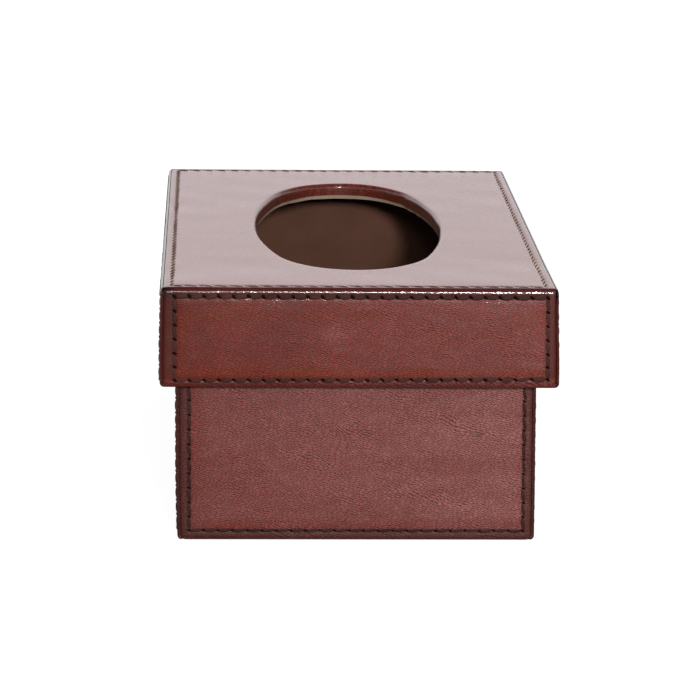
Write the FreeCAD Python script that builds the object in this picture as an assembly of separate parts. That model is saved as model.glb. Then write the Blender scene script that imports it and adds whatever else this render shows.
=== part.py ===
"""Leather-covered tissue box with a lift-off lid.

An open base holds a flat pack of tissues, and a lid with an oval opening drops over it and rests on
the base's rim. Both are boxes of stiff board: the walls are mitred at the corners and rebated for the
panel. Leather covers each face. The long sides' leather laps the ends of the short sides' leather, every
wall's leather is turned over its open rim, and the top's leather is turned down through the oval as a
rolled lip. Suede lines the inside.

Frame: millimetres, +Z up, +Y along the long side with the front at -Y, and the origin on the table under
the centre of the base. Each piece is written to parts/NAME.step.
"""
import FreeCAD, Part
import math
import os
from collections import namedtuple

Vector = FreeCAD.Vector

# Outside sizes
LID_WIDTH = 144.0  # X, over the leather
LID_LENGTH = 250.0  # Y, over the leather
TOTAL_HEIGHT = 96.0  # table to the lid's top face
LID_HEIGHT = 36.3  # the lid's top face to the lower rim of its skirt

# Thicknesses
LEATHER = 1.2
BOARD = 4.0
TOP_BOARD = 3.4
WALL_LINING = 0.8
TOP_LINING = 1.4
FLOOR_LINING = 0.8
BOTTOM_SHEET = 0.8

# Fits between pieces
LID_CLEARANCE = 0.5  # each side, between the lid's lining and the base's leather
SEAM_GAP = 0.25  # between the cut edges of two leathers
REBATE = 2.0  # how far a panel's edge reaches into the walls
TURN_UNDER = 12.0  # how far the base's leather runs in below the bottom board
SHEET_INSET = 4.0  # the bottom sheet's edge, in from the base's outside

# Oval opening through the lid, inside the leather lip
OPENING_WIDTH = 72.0
OPENING_LENGTH = 177.0
OPENING_SHOULDER_RADIUS = 45.0  # between the large side arcs and the small end arcs
OPENING_SHOULDER_START = 16.0  # degrees that the outline has turned where a shoulder begins
OPENING_SHOULDER_END = 46.0  # and where it ends
OPENING_BOARD_ROUND = 0.4  # the top board's rounded edge, which the leather rolls over
LINING_REVEAL = 0.3  # how far the top lining's cut edge stands proud of the leather lip

# Rounded edges of the leather
LID_CORNER_ROUND = 1.1
LID_TOP_ROUND = 1.9
LID_RIM_ROUND = 1.7
BASE_CORNER_ROUND = 1.1
BASE_BOTTOM_ROUND = 1.8
BASE_RIM_ROUND = 1.0


class Plan(namedtuple("Plan", "half_x half_y")):
    """Half sizes of a rectangle that is centred on the Z axis."""

    def inset(self, distance):
        """Give the rectangle that lies this far inside."""
        return Plan(self.half_x - distance, self.half_y - distance)


# Plans and heights, each worked out once from the sizes above
WALL = LEATHER + BOARD + WALL_LINING
LID_PLAN = Plan(LID_WIDTH / 2, LID_LENGTH / 2)
BASE_PLAN = LID_PLAN.inset(WALL + LID_CLEARANCE)

TOP_BOARD_HIGH = TOTAL_HEIGHT - LEATHER
TOP_BOARD_LOW = TOP_BOARD_HIGH - TOP_BOARD
LID_CEILING = TOP_BOARD_LOW - TOP_LINING
LID_RIM = TOTAL_HEIGHT - LID_HEIGHT

BASE_RIM = LID_CEILING
BOTTOM_BOARD_LOW = BOTTOM_SHEET + LEATHER
BOTTOM_BOARD_HIGH = BOTTOM_BOARD_LOW + BOARD
FLOOR = BOTTOM_BOARD_HIGH + FLOOR_LINING


# Basic shapes

def slab(plan, z_low, z_high):
    """Make a rectangular plate between two heights."""
    corner = Vector(-plan.half_x, -plan.half_y, z_low)
    return Part.makeBox(2 * plan.half_x, 2 * plan.half_y, z_high - z_low, corner)


def prism(points, z_low, z_high):
    """Make an upright prism on a polygon of (x, y) points."""
    corners = [Vector(x, y, z_low) for x, y in points]
    face = Part.Face(Part.makePolygon(corners + corners[:1]))
    return face.extrude(Vector(0, 0, z_high - z_low))


def oval_arcs(grow):
    """List one quarter of the opening's oval, grown outwards all round, as tangent arcs.

    Each arc is given as its centre, its radius and the directions in which it starts and ends. The
    shoulder's radius is chosen, and the side's and the end's follow from the half width and half length.
    """
    half_x, half_y = OPENING_WIDTH / 2 + grow, OPENING_LENGTH / 2 + grow
    shoulder = OPENING_SHOULDER_RADIUS + grow
    start, stop = math.radians(OPENING_SHOULDER_START), math.radians(OPENING_SHOULDER_END)
    across = half_x - shoulder * (math.cos(start) - math.cos(stop))
    along = half_y - shoulder * (math.sin(stop) - math.sin(start))
    # side * (1 - cos(start)) + end * cos(stop) = across; side * sin(start) + end * (1 - sin(stop)) = along
    scale = (1 - math.cos(start)) * (1 - math.sin(stop)) - math.cos(stop) * math.sin(start)
    side = (across * (1 - math.sin(stop)) - along * math.cos(stop)) / scale
    end = (along * (1 - math.cos(start)) - across * math.sin(start)) / scale
    side_centre = Vector(half_x - side, 0, 0)
    end_centre = Vector(0, half_y - end, 0)
    shoulder_centre = side_centre + Vector(math.cos(start), math.sin(start), 0) * (side - shoulder)
    return [(side_centre, side, 0.0, start), (shoulder_centre, shoulder, start, stop),
            (end_centre, end, stop, math.pi / 2)]


def arc_through(centre, radius, start, stop):
    """Make the arc round a centre between two directions, as an edge."""
    along = [centre + Vector(math.cos(turn), math.sin(turn), 0) * radius
             for turn in (start, (start + stop) / 2, stop)]
    return Part.Arc(*along).toShape()


def oval_prism(grow, z_low, z_high):
    """Make a prism on the opening's oval, grown outwards all round."""
    side, shoulder, end = oval_arcs(grow)
    corner = arc_through(*shoulder)
    right = arc_through(side[0], side[1], -side[3], side[3])
    back = arc_through(end[0], end[1], end[2], math.pi - end[2])
    half = [right, corner, back, corner.mirror(Vector(), Vector(1, 0, 0))]
    edges = half + [edge.rotated(Vector(), Vector(0, 0, 1), 180) for edge in half]
    outline = Part.Wire(Part.__sortEdges__(edges))
    outline.translate(Vector(0, 0, z_low))
    return Part.Face(outline).extrude(Vector(0, 0, z_high - z_low))


def edges_along(shape, direction, height=None):
    """List a shape's straight edges along a direction, at one height if it is given."""
    found = []
    for edge in shape.Edges:
        along = abs(edge.tangentAt(edge.FirstParameter).dot(direction)) > 0.999
        level = height is None or abs(edge.CenterOfMass.z - height) < 1e-6
        if along and level:
            found.append(edge)
    return found


def rounded_block(plan, z_low, z_high, corner_round, low_round, high_round):
    """Make a block with its upright, lower and upper edges rounded, each by its own radius."""
    upright = slab(plan, z_low, z_high)
    block = upright.makeFillet(corner_round, edges_along(upright, Vector(0, 0, 1)))
    for direction in (Vector(1, 0, 0), Vector(0, 1, 0)):
        bar = slab(plan, z_low, z_high)
        bar = bar.makeFillet(low_round, edges_along(bar, direction, z_low))
        bar = bar.makeFillet(high_round, edges_along(bar, direction, z_high))
        block = block.common(bar)
    return block


# One member of a four-sided ring, made on the -Y or the -X side

def end_strip(plan, width, z_low, z_high, gap=0.0):
    """Make the ring's -Y member, mitred at both ends, with half the gap at each mitre."""
    slip = gap / math.sqrt(2)
    outer = plan.half_x - slip
    inner = plan.half_x - width - slip
    y = -plan.half_y
    return prism([(-outer, y), (outer, y), (inner, y + width), (-inner, y + width)], z_low, z_high)


def long_strip(plan, width, z_low, z_high, gap=0.0):
    """Make the ring's -X member, mitred at both ends, with half the gap at each mitre."""
    slip = gap / math.sqrt(2)
    outer = plan.half_y - slip
    inner = plan.half_y - width - slip
    x = -plan.half_x
    return prism([(x, outer), (x, -outer), (x + width, -inner), (x + width, inner)], z_low, z_high)


def end_sheet(plan, z_low, z_high):
    """Make the -Y wall's outer leather, which fits between the long walls' leather."""
    half = plan.half_x - LEATHER - SEAM_GAP
    return Part.makeBox(2 * half, LEATHER, z_high - z_low, Vector(-half, -plan.half_y, z_low))


def long_sheet(plan, z_low, z_high):
    """Make the -X wall's outer leather, which laps the ends of the short walls' leather."""
    corner = Vector(-plan.half_x, -plan.half_y, z_low)
    return Part.makeBox(LEATHER, 2 * plan.half_y, z_high - z_low, corner)


# Name of each side, its sheet and strip, and how far it is turned about Z
SIDES = [
    ("front", end_sheet, end_strip, 0.0),
    ("back", end_sheet, end_strip, 180.0),
    ("left", long_sheet, long_strip, 0.0),
    ("right", long_sheet, long_strip, 180.0),
]


def four_sides(prefix, suffix, make):
    """Make one named piece for each side, with make(sheet, strip) giving it at -Y or -X."""
    pieces = {}
    for side, sheet, strip, turn in SIDES:
        piece = make(sheet, strip)
        piece.rotate(Vector(0, 0, 0), Vector(0, 0, 1), turn)
        pieces[f"{prefix}_{side}_{suffix}"] = piece
    return pieces


# Lid

def top_board(plan):
    """Make the lid's top board, with its oval cut and the cut's upper edge rounded."""
    board = slab(plan, TOP_BOARD_LOW, TOP_BOARD_HIGH)
    board = board.cut(oval_prism(LEATHER, TOP_BOARD_LOW, TOP_BOARD_HIGH))
    return board.makeFillet(OPENING_BOARD_ROUND, oval_edges(board, TOP_BOARD_HIGH))


def oval_edges(plate, height):
    """List the edges of a plate's oval cut at one height."""
    return [edge for edge in plate.Edges
            if isinstance(edge.Curve, Part.Circle)
            and abs(edge.CenterOfMass.z - height) < 1e-6]


def lid_boards():
    """Make the lid's boards: the walls hold the top board in a rebate."""
    plan = LID_PLAN.inset(LEATHER)

    def wall(sheet, strip):
        body = strip(plan, BOARD, LID_RIM + LEATHER, TOP_BOARD_LOW)
        lip = strip(plan, BOARD - REBATE, TOP_BOARD_LOW, TOP_BOARD_HIGH)
        return body.fuse(lip).removeSplitter()

    pieces = four_sides("lid", "board", wall)
    pieces["lid_top_board"] = top_board(plan.inset(BOARD - REBATE))
    return pieces


def lid_leathers():
    """Make the lid's leathers: four walls turned in at the rim, and the top with its rolled lip."""
    block = rounded_block(LID_PLAN, LID_RIM, TOTAL_HEIGHT, LID_CORNER_ROUND, LID_RIM_ROUND, LID_TOP_ROUND)
    boards = LID_PLAN.inset(LEATHER)

    def wall(sheet, strip):
        outside = sheet(LID_PLAN, LID_RIM, TOTAL_HEIGHT)
        turn_in = strip(boards, BOARD + WALL_LINING, LID_RIM, LID_RIM + LEATHER, SEAM_GAP)
        return outside.fuse(turn_in).removeSplitter().common(block)

    pieces = four_sides("lid", "leather", wall)
    cover = slab(boards.inset(SEAM_GAP), TOP_BOARD_LOW, TOTAL_HEIGHT)
    cover = cover.cut(oval_prism(0.0, TOP_BOARD_LOW, TOTAL_HEIGHT))
    cover = cover.makeFillet(OPENING_BOARD_ROUND + LEATHER, oval_edges(cover, TOTAL_HEIGHT))
    pieces["lid_top_leather"] = cover.cut(top_board(LID_PLAN)).common(block)
    return pieces


def lid_linings():
    """Make the lid's suede: the ceiling, cut to the oval, and the inside of the skirt."""
    plan = LID_PLAN.inset(LEATHER + BOARD)

    def wall(sheet, strip):
        return strip(plan, WALL_LINING, LID_RIM + LEATHER, LID_CEILING)

    pieces = four_sides("lid", "lining", wall)
    ceiling = slab(plan, LID_CEILING, TOP_BOARD_LOW)
    pieces["lid_top_lining"] = ceiling.cut(oval_prism(-LINING_REVEAL, LID_CEILING, TOP_BOARD_LOW))
    return pieces


# Base

def base_boards():
    """Make the base's boards: the bottom sits in the walls' rebate, and its middle is thicker by the
    leather, so that it comes level with the turned-under border."""
    plan = BASE_PLAN.inset(LEATHER)

    def wall(sheet, strip):
        body = strip(plan, BOARD, BOTTOM_BOARD_HIGH, BASE_RIM - LEATHER)
        lip = strip(plan, BOARD - REBATE, BOTTOM_BOARD_LOW, BOTTOM_BOARD_HIGH)
        return body.fuse(lip).removeSplitter()

    pieces = four_sides("base", "board", wall)
    panel = slab(plan.inset(BOARD - REBATE), BOTTOM_BOARD_LOW, BOTTOM_BOARD_HIGH)
    middle = slab(BASE_PLAN.inset(TURN_UNDER + SEAM_GAP), BOTTOM_SHEET, BOTTOM_BOARD_LOW)
    pieces["base_bottom_board"] = panel.fuse(middle).removeSplitter()
    return pieces


def base_leathers():
    """Make the base's leathers: each wall is turned over the rim and under the bottom board."""
    block = rounded_block(BASE_PLAN, BOTTOM_SHEET, BASE_RIM, BASE_CORNER_ROUND, BASE_BOTTOM_ROUND, BASE_RIM_ROUND)
    boards = BASE_PLAN.inset(LEATHER)

    def wall(sheet, strip):
        outside = sheet(BASE_PLAN, BOTTOM_SHEET, BASE_RIM)
        over = strip(boards, BOARD + WALL_LINING, BASE_RIM - LEATHER, BASE_RIM, SEAM_GAP)
        under = strip(boards, TURN_UNDER - LEATHER, BOTTOM_SHEET, BOTTOM_BOARD_LOW, SEAM_GAP)
        return outside.fuse([over, under]).removeSplitter().common(block)

    return four_sides("base", "leather", wall)


def base_linings():
    """Make the base's suede: the floor, the walls that stand on it, and the sheet under the bottom."""
    plan = BASE_PLAN.inset(LEATHER + BOARD)

    def wall(sheet, strip):
        return strip(plan, WALL_LINING, FLOOR, BASE_RIM - LEATHER)

    pieces = four_sides("base", "lining", wall)
    pieces["base_floor_lining"] = slab(plan, BOTTOM_BOARD_HIGH, FLOOR)
    pieces["base_bottom_sheet"] = slab(BASE_PLAN.inset(SHEET_INSET), 0.0, BOTTOM_SHEET)
    return pieces


def main():
    """Make every piece, say what it measures and write it."""
    os.makedirs("parts", exist_ok=True)
    for family in (lid_boards, lid_leathers, lid_linings, base_boards, base_leathers, base_linings):
        for name, shape in family().items():
            solid = shape.Solids[0]
            if len(shape.Solids) != 1 or not solid.isValid():
                raise ValueError(f"{name} is not one valid solid")
            solid.exportStep(f"parts/{name}.step")
            box = solid.BoundBox
            print(f"{name}: {box.XLength:.2f} x {box.YLength:.2f} x {box.ZLength:.2f} mm, "
                  f"{solid.Volume / 1000:.2f} cm3, {len(solid.Faces)} faces")


main()
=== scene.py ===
"""Looks of a leather tissue box with a lift-off lid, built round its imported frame.

Every leather panel is modelled as a sheet with turned edges, pressed stitch lines and a slight pillow,
and carries its own rows of waxed stitches. The top's lining is a sheet of suede with a pale cut edge. The
boards and the other linings keep their own solids and get fibrous finishes. Lengths are in metres; a panel
is modelled flat in its own (u, v, w) frame, with u to the right and v up as seen from outside and w
outwards, and then set in place.
"""

import logging
import math
from contextlib import contextmanager
from dataclasses import dataclass, field
from enum import Enum
from typing import Callable, Iterator

import bmesh
import bpy
import numpy as np
from mathutils import Matrix, Vector


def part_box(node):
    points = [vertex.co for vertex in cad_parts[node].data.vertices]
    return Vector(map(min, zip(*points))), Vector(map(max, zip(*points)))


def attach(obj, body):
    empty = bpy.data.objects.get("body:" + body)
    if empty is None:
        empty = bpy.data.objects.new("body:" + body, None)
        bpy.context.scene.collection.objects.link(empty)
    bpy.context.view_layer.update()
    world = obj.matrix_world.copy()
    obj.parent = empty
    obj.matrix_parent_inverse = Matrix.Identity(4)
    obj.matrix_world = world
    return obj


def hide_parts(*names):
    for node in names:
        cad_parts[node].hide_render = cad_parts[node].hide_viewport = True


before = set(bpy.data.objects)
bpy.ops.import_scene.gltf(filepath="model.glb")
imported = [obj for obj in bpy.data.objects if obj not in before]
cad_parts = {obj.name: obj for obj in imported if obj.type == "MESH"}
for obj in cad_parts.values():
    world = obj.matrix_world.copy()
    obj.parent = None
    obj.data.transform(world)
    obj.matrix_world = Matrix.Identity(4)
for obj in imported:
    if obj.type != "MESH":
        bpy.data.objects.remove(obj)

MM = 0.001
LOG = logging.getLogger("tissue_box")

CROWN_HEIGHT = 0.55 * MM
CROWN_REACH = 55 * MM
DEEP_TURN = 6 * MM

Colour = tuple[float, float, float]
Socket = bpy.types.NodeSocket
Tree = bpy.types.NodeTree


# ---------------------------------------------------------------- modelling helpers

@contextmanager
def editing(piece: bpy.types.Object, mode: str = "EDGE") -> Iterator[None]:
    """Open a piece in edit mode with nothing selected, and close it again.

    Args:
        piece: The mesh object to edit.
        mode: Selection mode, "VERT", "EDGE" or "FACE".
    """
    only(piece)
    bpy.ops.object.mode_set(mode="EDIT")
    bpy.ops.mesh.select_mode(type=mode)
    bpy.ops.mesh.select_all(action="DESELECT")
    try:
        yield
    finally:
        bpy.ops.object.mode_set(mode="OBJECT")


def only(piece: bpy.types.Object) -> None:
    """Make one object the only selected one, and active."""
    bpy.ops.object.select_all(action="DESELECT")
    piece.select_set(True)
    bpy.context.view_layer.objects.active = piece


def select_edges(piece: bpy.types.Object, keep: Callable[[Vector, Vector], bool]) -> None:
    """Select the edges whose two ends pass a test, in edit mode.

    Args:
        piece: The object that is being edited.
        keep: Test on the two end points.
    """
    mesh = bmesh.from_edit_mesh(piece.data)
    for edge in mesh.edges:
        edge.select = keep(edge.verts[0].co, edge.verts[1].co)
    mesh.select_flush_mode()
    bmesh.update_edit_mesh(piece.data)


def points_of(piece: bpy.types.Object) -> np.ndarray:
    """Read a mesh's points as an array of rows (x, y, z)."""
    points = np.empty(len(piece.data.vertices) * 3, np.float64)
    piece.data.vertices.foreach_get("co", points)
    return points.reshape(-1, 3)


def set_points(piece: bpy.types.Object, points: np.ndarray) -> None:
    """Write a mesh's points back.

    Args:
        piece: The mesh object.
        points: Its points, in the order of points_of.
    """
    piece.data.vertices.foreach_set("co", points.astype(np.float32).ravel())
    piece.data.update()


def set_field(piece: bpy.types.Object, name: str, values: np.ndarray) -> None:
    """Store one number for each point, for the materials to read.

    Args:
        piece: The mesh object.
        name: The attribute's name.
        values: The numbers.
    """
    attribute = piece.data.attributes.get(name) or piece.data.attributes.new(name, "FLOAT", "POINT")
    attribute.data.foreach_set("value", values.astype(np.float32))


def set_hide_map(piece: bpy.types.Object, u: np.ndarray, v: np.ndarray) -> None:
    """Lay the piece's own map of the hide, in metres, over its faces.

    Args:
        piece: The mesh object.
        u: Place along the hide of each point.
        v: Place up the hide of each point.
    """
    layer = piece.data.uv_layers.get("hide") or piece.data.uv_layers.new(name="hide")
    corners = np.empty(len(piece.data.loops), np.int32)
    piece.data.loops.foreach_get("vertex_index", corners)
    layer.data.foreach_set("uv", np.stack([u[corners], v[corners]], axis=1).astype(np.float32).ravel())


def apply_modifier(piece: bpy.types.Object, kind: str, **settings: object) -> None:
    """Add a modifier with these settings and apply it at once.

    Args:
        piece: The mesh object.
        kind: Blender's modifier type, such as "SOLIDIFY".
        settings: The modifier's properties.
    """
    only(piece)
    modifier = piece.modifiers.new(kind.lower(), kind)
    for name, value in settings.items():
        setattr(modifier, name, value)
    bpy.ops.object.modifier_apply(modifier=modifier.name)


def smooth(piece: bpy.types.Object, degrees: float = 40.0) -> None:
    """Shade a piece smooth, with edges sharper than an angle kept crisp.

    Args:
        piece: The mesh object.
        degrees: The angle.
    """
    only(piece)
    bpy.ops.object.shade_smooth_by_angle(angle=math.radians(degrees))


def place(piece: bpy.types.Object, matrix: Matrix) -> None:
    """Move a piece's mesh by a matrix, and leave its object at the origin.

    Args:
        piece: The mesh object.
        matrix: Where its mesh goes.
    """
    piece.data.transform(matrix)
    piece.matrix_world = Matrix.Identity(4)
    piece.data.update()


def ripples(u: np.ndarray, v: np.ndarray, seed: int, wavelength: float, waves: int = 9) -> np.ndarray:
    """Add up sine waves of random directions into a soft, repeatable unevenness.

    Args:
        u: First coordinate of each point.
        v: Second coordinate of each point.
        seed: Seed of the random directions and phases.
        wavelength: Typical distance from crest to crest.
        waves: How many waves are added.

    Returns:
        Heights between about -1 and 1.
    """
    dice = np.random.RandomState(seed)
    total = np.zeros_like(u)
    for _ in range(waves):
        angle = dice.uniform(0, math.tau)
        number = math.tau / (wavelength * dice.uniform(0.6, 1.7))
        total += np.sin(number * (u * math.cos(angle) + v * math.sin(angle)) + dice.uniform(0, math.tau))
    return total / math.sqrt(waves * 2)


def bump(distance: np.ndarray, width: float | np.ndarray) -> np.ndarray:
    """Fall off from 1 at no distance, in the shape of a bell.

    Args:
        distance: Distance of each point.
        width: Distance at which about a third is left.

    Returns:
        The share that is left at each point.
    """
    return np.exp(-(distance / width) ** 2)


def ease(value: np.ndarray) -> np.ndarray:
    """Turn a ramp from 0 to 1 into one with soft ends."""
    held = np.clip(value, 0.0, 1.0)
    return held * held * (3 - 2 * held)


def rounding(distance: np.ndarray, radius: float) -> np.ndarray:
    """Give how far a rounded edge falls away, at this distance in from it.

    Args:
        distance: Distance from the edge.
        radius: Radius of the rounding.

    Returns:
        The drop, from the radius at the edge to 0 where the rounding ends.
    """
    return radius - np.sqrt(np.maximum(radius ** 2 - np.maximum(radius - distance, 0) ** 2, 0))


def crowned(distance: np.ndarray) -> np.ndarray:
    """Give how high the lid's padded top stands up, at this distance behind its front edge."""
    return CROWN_HEIGHT * ease(1 - distance / CROWN_REACH)


class Facing(Enum):
    """The way a panel faces, as the world directions of its u, v and w."""

    FRONT = ((1, 0, 0), (0, 0, 1), (0, -1, 0))
    BACK = ((-1, 0, 0), (0, 0, 1), (0, 1, 0))
    LEFT = ((0, -1, 0), (0, 0, 1), (-1, 0, 0))
    RIGHT = ((0, 1, 0), (0, 0, 1), (1, 0, 0))

    def matrix(self, origin: Vector) -> Matrix:
        """Give the matrix that takes the panel's own frame to the world."""
        turn = Matrix(self.value).transposed().to_4x4()
        return Matrix.Translation(origin) @ turn

    @property
    def long_side(self) -> bool:
        """Say whether this is one of the two long walls."""
        return self in (Facing.LEFT, Facing.RIGHT)


# ---------------------------------------------------------------- finishes

class Recipe:
    """A material's node tree, with short calls to add and join nodes."""

    def __init__(self, name: str) -> None:
        """Start a material with a Principled BSDF and an output.

        Args:
            name: The material's name.
        """
        self.material = bpy.data.materials.new(name)
        self.material.use_nodes = True
        self.tree = self.material.node_tree
        self.tree.nodes.clear()
        self.shader = self.add("ShaderNodeBsdfPrincipled")
        output = self.add("ShaderNodeOutputMaterial")
        self.join(self.shader.outputs["BSDF"], output.inputs["Surface"])

    def add(self, kind: str, **settings: object) -> bpy.types.Node:
        """Add a node and set its properties."""
        return add_node(self.tree, kind, **settings)

    def join(self, source: Socket, target: Socket) -> None:
        """Link two sockets.

        Args:
            source: The output to link from.
            target: The input that takes it.
        """
        self.tree.links.new(source, target)

    def group(self, tree: Tree, **values: object) -> bpy.types.Node:
        """Place a shared node group and set its inputs by name, with _ for a space."""
        node = self.add("ShaderNodeGroup")
        node.node_tree = tree
        for name, value in values.items():
            feed(self.tree, value, node.inputs[name.replace("_", " ")])
        return node

    def stored(self, name: str) -> Socket:
        """Read one of the numbers that the piece stores for each point."""
        return self.add("ShaderNodeAttribute", attribute_name=name).outputs["Fac"]

    def where(self) -> Socket:
        """Read the place on the piece, in metres."""
        return self.add("ShaderNodeTexCoord").outputs["Object"]

    def settle(self, **values: object) -> None:
        """Set the shader's inputs by name, with _ for a space, to numbers, colours or sockets."""
        for name, value in values.items():
            feed(self.tree, value, self.shader.inputs[name.replace("_", " ")])

    def relief(self, height: Socket, depth: float) -> Socket:
        """Bump the surface.

        Args:
            height: Height from 0 to 1.
            depth: What a height of 1 measures.

        Returns:
            The bumped normal, which the shader takes too.
        """
        node = self.add("ShaderNodeBump")
        node.inputs["Distance"].default_value = depth
        self.join(height, node.inputs["Height"])
        self.settle(Normal=node.outputs["Normal"])
        return node.outputs["Normal"]

    def mix(self, factor: object, low: object, high: object, blend: str = "MIX") -> Socket:
        """Mix two colours and give the result's socket.

        Args:
            factor: A number or a socket.
            low: Colour or socket at factor 0.
            high: Colour or socket at factor 1.
            blend: Blend type of the Mix node.

        Returns:
            The colour output.
        """
        return mix_colours(self.tree, factor, low, high, blend)

    def calc(self, operation: str, *inputs: object) -> Socket:
        """Add a Math node on sockets or numbers, and give its output."""
        return calculate(self.tree, operation, *inputs)


def add_node(tree: Tree, kind: str, **settings: object) -> bpy.types.Node:
    """Add a node to a tree.

    Args:
        tree: The node tree.
        kind: The node's type.
        settings: The node's properties.

    Returns:
        The node.
    """
    node = tree.nodes.new(kind)
    for name, value in settings.items():
        setattr(node, name, value)
    return node


def feed(tree: Tree, value: object, socket: Socket) -> None:
    """Give a socket a number, a colour or a link.

    Args:
        tree: The node tree.
        value: The number, the colour or the socket to link from.
        socket: The input that takes it.
    """
    if isinstance(value, Socket):
        tree.links.new(value, socket)
    elif isinstance(value, tuple) and len(value) == 3 and socket.type == "RGBA":
        socket.default_value = (*value, 1.0)
    else:
        socket.default_value = value


def calculate(tree: Tree, operation: str, *inputs: object) -> Socket:
    """Add a Math node to a tree.

    Args:
        tree: The node tree.
        operation: The operation's name.
        inputs: Numbers or sockets.

    Returns:
        The result's socket.
    """
    node = add_node(tree, "ShaderNodeMath", operation=operation)
    for socket, value in zip(node.inputs, inputs):
        feed(tree, value, socket)
    return node.outputs[0]


def mix_colours(tree: Tree, factor: object, low: object, high: object,
                blend: str = "MIX") -> Socket:
    """Add a colour Mix node to a tree.

    Args:
        tree: The node tree.
        factor: A number or a socket.
        low: Colour or socket at factor 0.
        high: Colour or socket at factor 1.
        blend: Blend type of the node.

    Returns:
        The mixed colour's socket.
    """
    node = add_node(tree, "ShaderNodeMix", data_type="RGBA", blend_type=blend)
    feed(tree, factor, node.inputs[0])
    feed(tree, low, node.inputs[6])
    feed(tree, high, node.inputs[7])
    return node.outputs[2]


def mix_shaders(tree: Tree, factor: Socket, low: Socket, high: Socket) -> Socket:
    """Add a Mix Shader node to a tree.

    Args:
        tree: The node tree.
        factor: The factor's socket.
        low: Shader at factor 0.
        high: Shader at factor 1.

    Returns:
        The mixed shader's socket.
    """
    node = add_node(tree, "ShaderNodeMixShader")
    for socket, value in zip(node.inputs, (factor, low, high)):
        feed(tree, value, socket)
    return node.outputs[0]


def ramp(tree: Tree, value: object, low: float, high: float,
         out_low: float = 0.0, out_high: float = 1.0) -> Socket:
    """Map a stretch of values onto another, smoothly and held at its ends.

    Args:
        tree: The node tree.
        value: The value's socket.
        low: Where the stretch starts.
        high: Where it ends.
        out_low: Result up to its start.
        out_high: Result from its end.

    Returns:
        The result's socket.
    """
    node = add_node(tree, "ShaderNodeMapRange", interpolation_type="SMOOTHSTEP")
    for socket, number in zip(node.inputs, (value, low, high, out_low, out_high)):
        feed(tree, number, socket)
    return node.outputs[0]


def new_group(name: str, *outputs: str) -> tuple[Tree, Socket, bpy.types.Node]:
    """Start a shader node group that reads a place and gives numbers.

    Args:
        name: The group's name.
        outputs: The names of the numbers.

    Returns:
        The tree, the place's socket and the output node.
    """
    tree = bpy.data.node_groups.new(name, "ShaderNodeTree")
    tree.interface.new_socket(name="Vector", in_out="INPUT", socket_type="NodeSocketVector")
    for label in outputs:
        tree.interface.new_socket(name=label, in_out="OUTPUT", socket_type="NodeSocketFloat")
    return tree, tree.nodes.new("NodeGroupInput").outputs["Vector"], tree.nodes.new("NodeGroupOutput")


def noise_of(tree: Tree, vector: object, scale: float, detail: float = 3.0,
             roughness: float = 0.5, colour: bool = False) -> Socket:
    """Add a Noise texture.

    Args:
        tree: The node tree.
        vector: Where to read it.
        scale: Grains to the metre.
        detail: Octaves of finer grains.
        roughness: Strength of the finer grains.
        colour: Whether the result is a colour, and not a height.

    Returns:
        The result's socket.
    """
    node = add_node(tree, "ShaderNodeTexNoise", noise_dimensions="3D")
    feed(tree, vector, node.inputs["Vector"])
    node.inputs["Scale"].default_value = scale
    node.inputs["Detail"].default_value = detail
    node.inputs["Roughness"].default_value = roughness
    return node.outputs["Color" if colour else "Fac"]


def stretched(tree: Tree, vector: object, length: float, turn: float) -> Socket:
    """Make a texture longer in one direction.

    Args:
        tree: The node tree.
        vector: Where the texture is read.
        length: How many times longer it gets.
        turn: The direction, as a turn from u.

    Returns:
        Where to read the texture now.
    """
    node = add_node(tree, "ShaderNodeMapping", vector_type="TEXTURE")
    feed(tree, vector, node.inputs["Vector"])
    node.inputs["Scale"].default_value = (length, 1.0, 1.0)
    node.inputs["Rotation"].default_value = (0.0, 0.0, turn)
    return node.outputs["Vector"]


def build_grain_group() -> Tree:
    """Build the glazed goat grain: low ridges that run in swirls like a fingerprint, and small pebbles.

    Returns:
        A group with the outputs Height and Crease.
    """
    tree, vector, end = new_group("hide grain", "Height", "Crease")
    shift = add_node(tree, "ShaderNodeVectorMath", operation="MULTIPLY_ADD")
    feed(tree, noise_of(tree, vector, 75.0, 1.0, colour=True), shift.inputs[0])
    shift.inputs[1].default_value = (5 * MM, 5 * MM, 0.0)
    feed(tree, vector, shift.inputs[2])
    swirl = shift.outputs[0]
    run = math.radians(-20)
    lines = add_node(tree, "ShaderNodeTexWave", wave_type="BANDS", bands_direction="Y", wave_profile="SIN")
    feed(tree, stretched(tree, swirl, 1.0, run), lines.inputs["Vector"])
    for name, value in {"Scale": 440.0, "Distortion": 6.0, "Detail": 1.5, "Detail Scale": 0.9}.items():
        lines.inputs[name].default_value = value
    gaps = ramp(tree, noise_of(tree, stretched(tree, swirl, 2.5, run), 1350.0, 1.0), 0.53, 0.68)
    ridge = calculate(tree, "MAXIMUM", ramp(tree, lines.outputs["Fac"], 0.20, 0.80), gaps)
    cells = add_node(tree, "ShaderNodeTexVoronoi", feature="DISTANCE_TO_EDGE", voronoi_dimensions="2D")
    feed(tree, stretched(tree, swirl, 1.8, math.radians(-12)), cells.inputs["Vector"])
    cells.inputs["Scale"].default_value = 1150.0
    pebble = ramp(tree, cells.outputs["Distance"], 0.0, 0.25)
    pores = noise_of(tree, vector, 4200.0, 2.0)
    height = calculate(tree, "MULTIPLY", ridge, 0.50)
    height = calculate(tree, "MULTIPLY_ADD", pebble, 0.35, height)
    height = calculate(tree, "MULTIPLY_ADD", pores, 0.15, height)
    feed(tree, height, end.inputs["Height"])
    raised = calculate(tree, "MULTIPLY_ADD", ridge, 0.55, calculate(tree, "MULTIPLY", pebble, 0.45))
    feed(tree, calculate(tree, "SUBTRACT", 1.0, raised), end.inputs["Crease"])
    return tree


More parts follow.
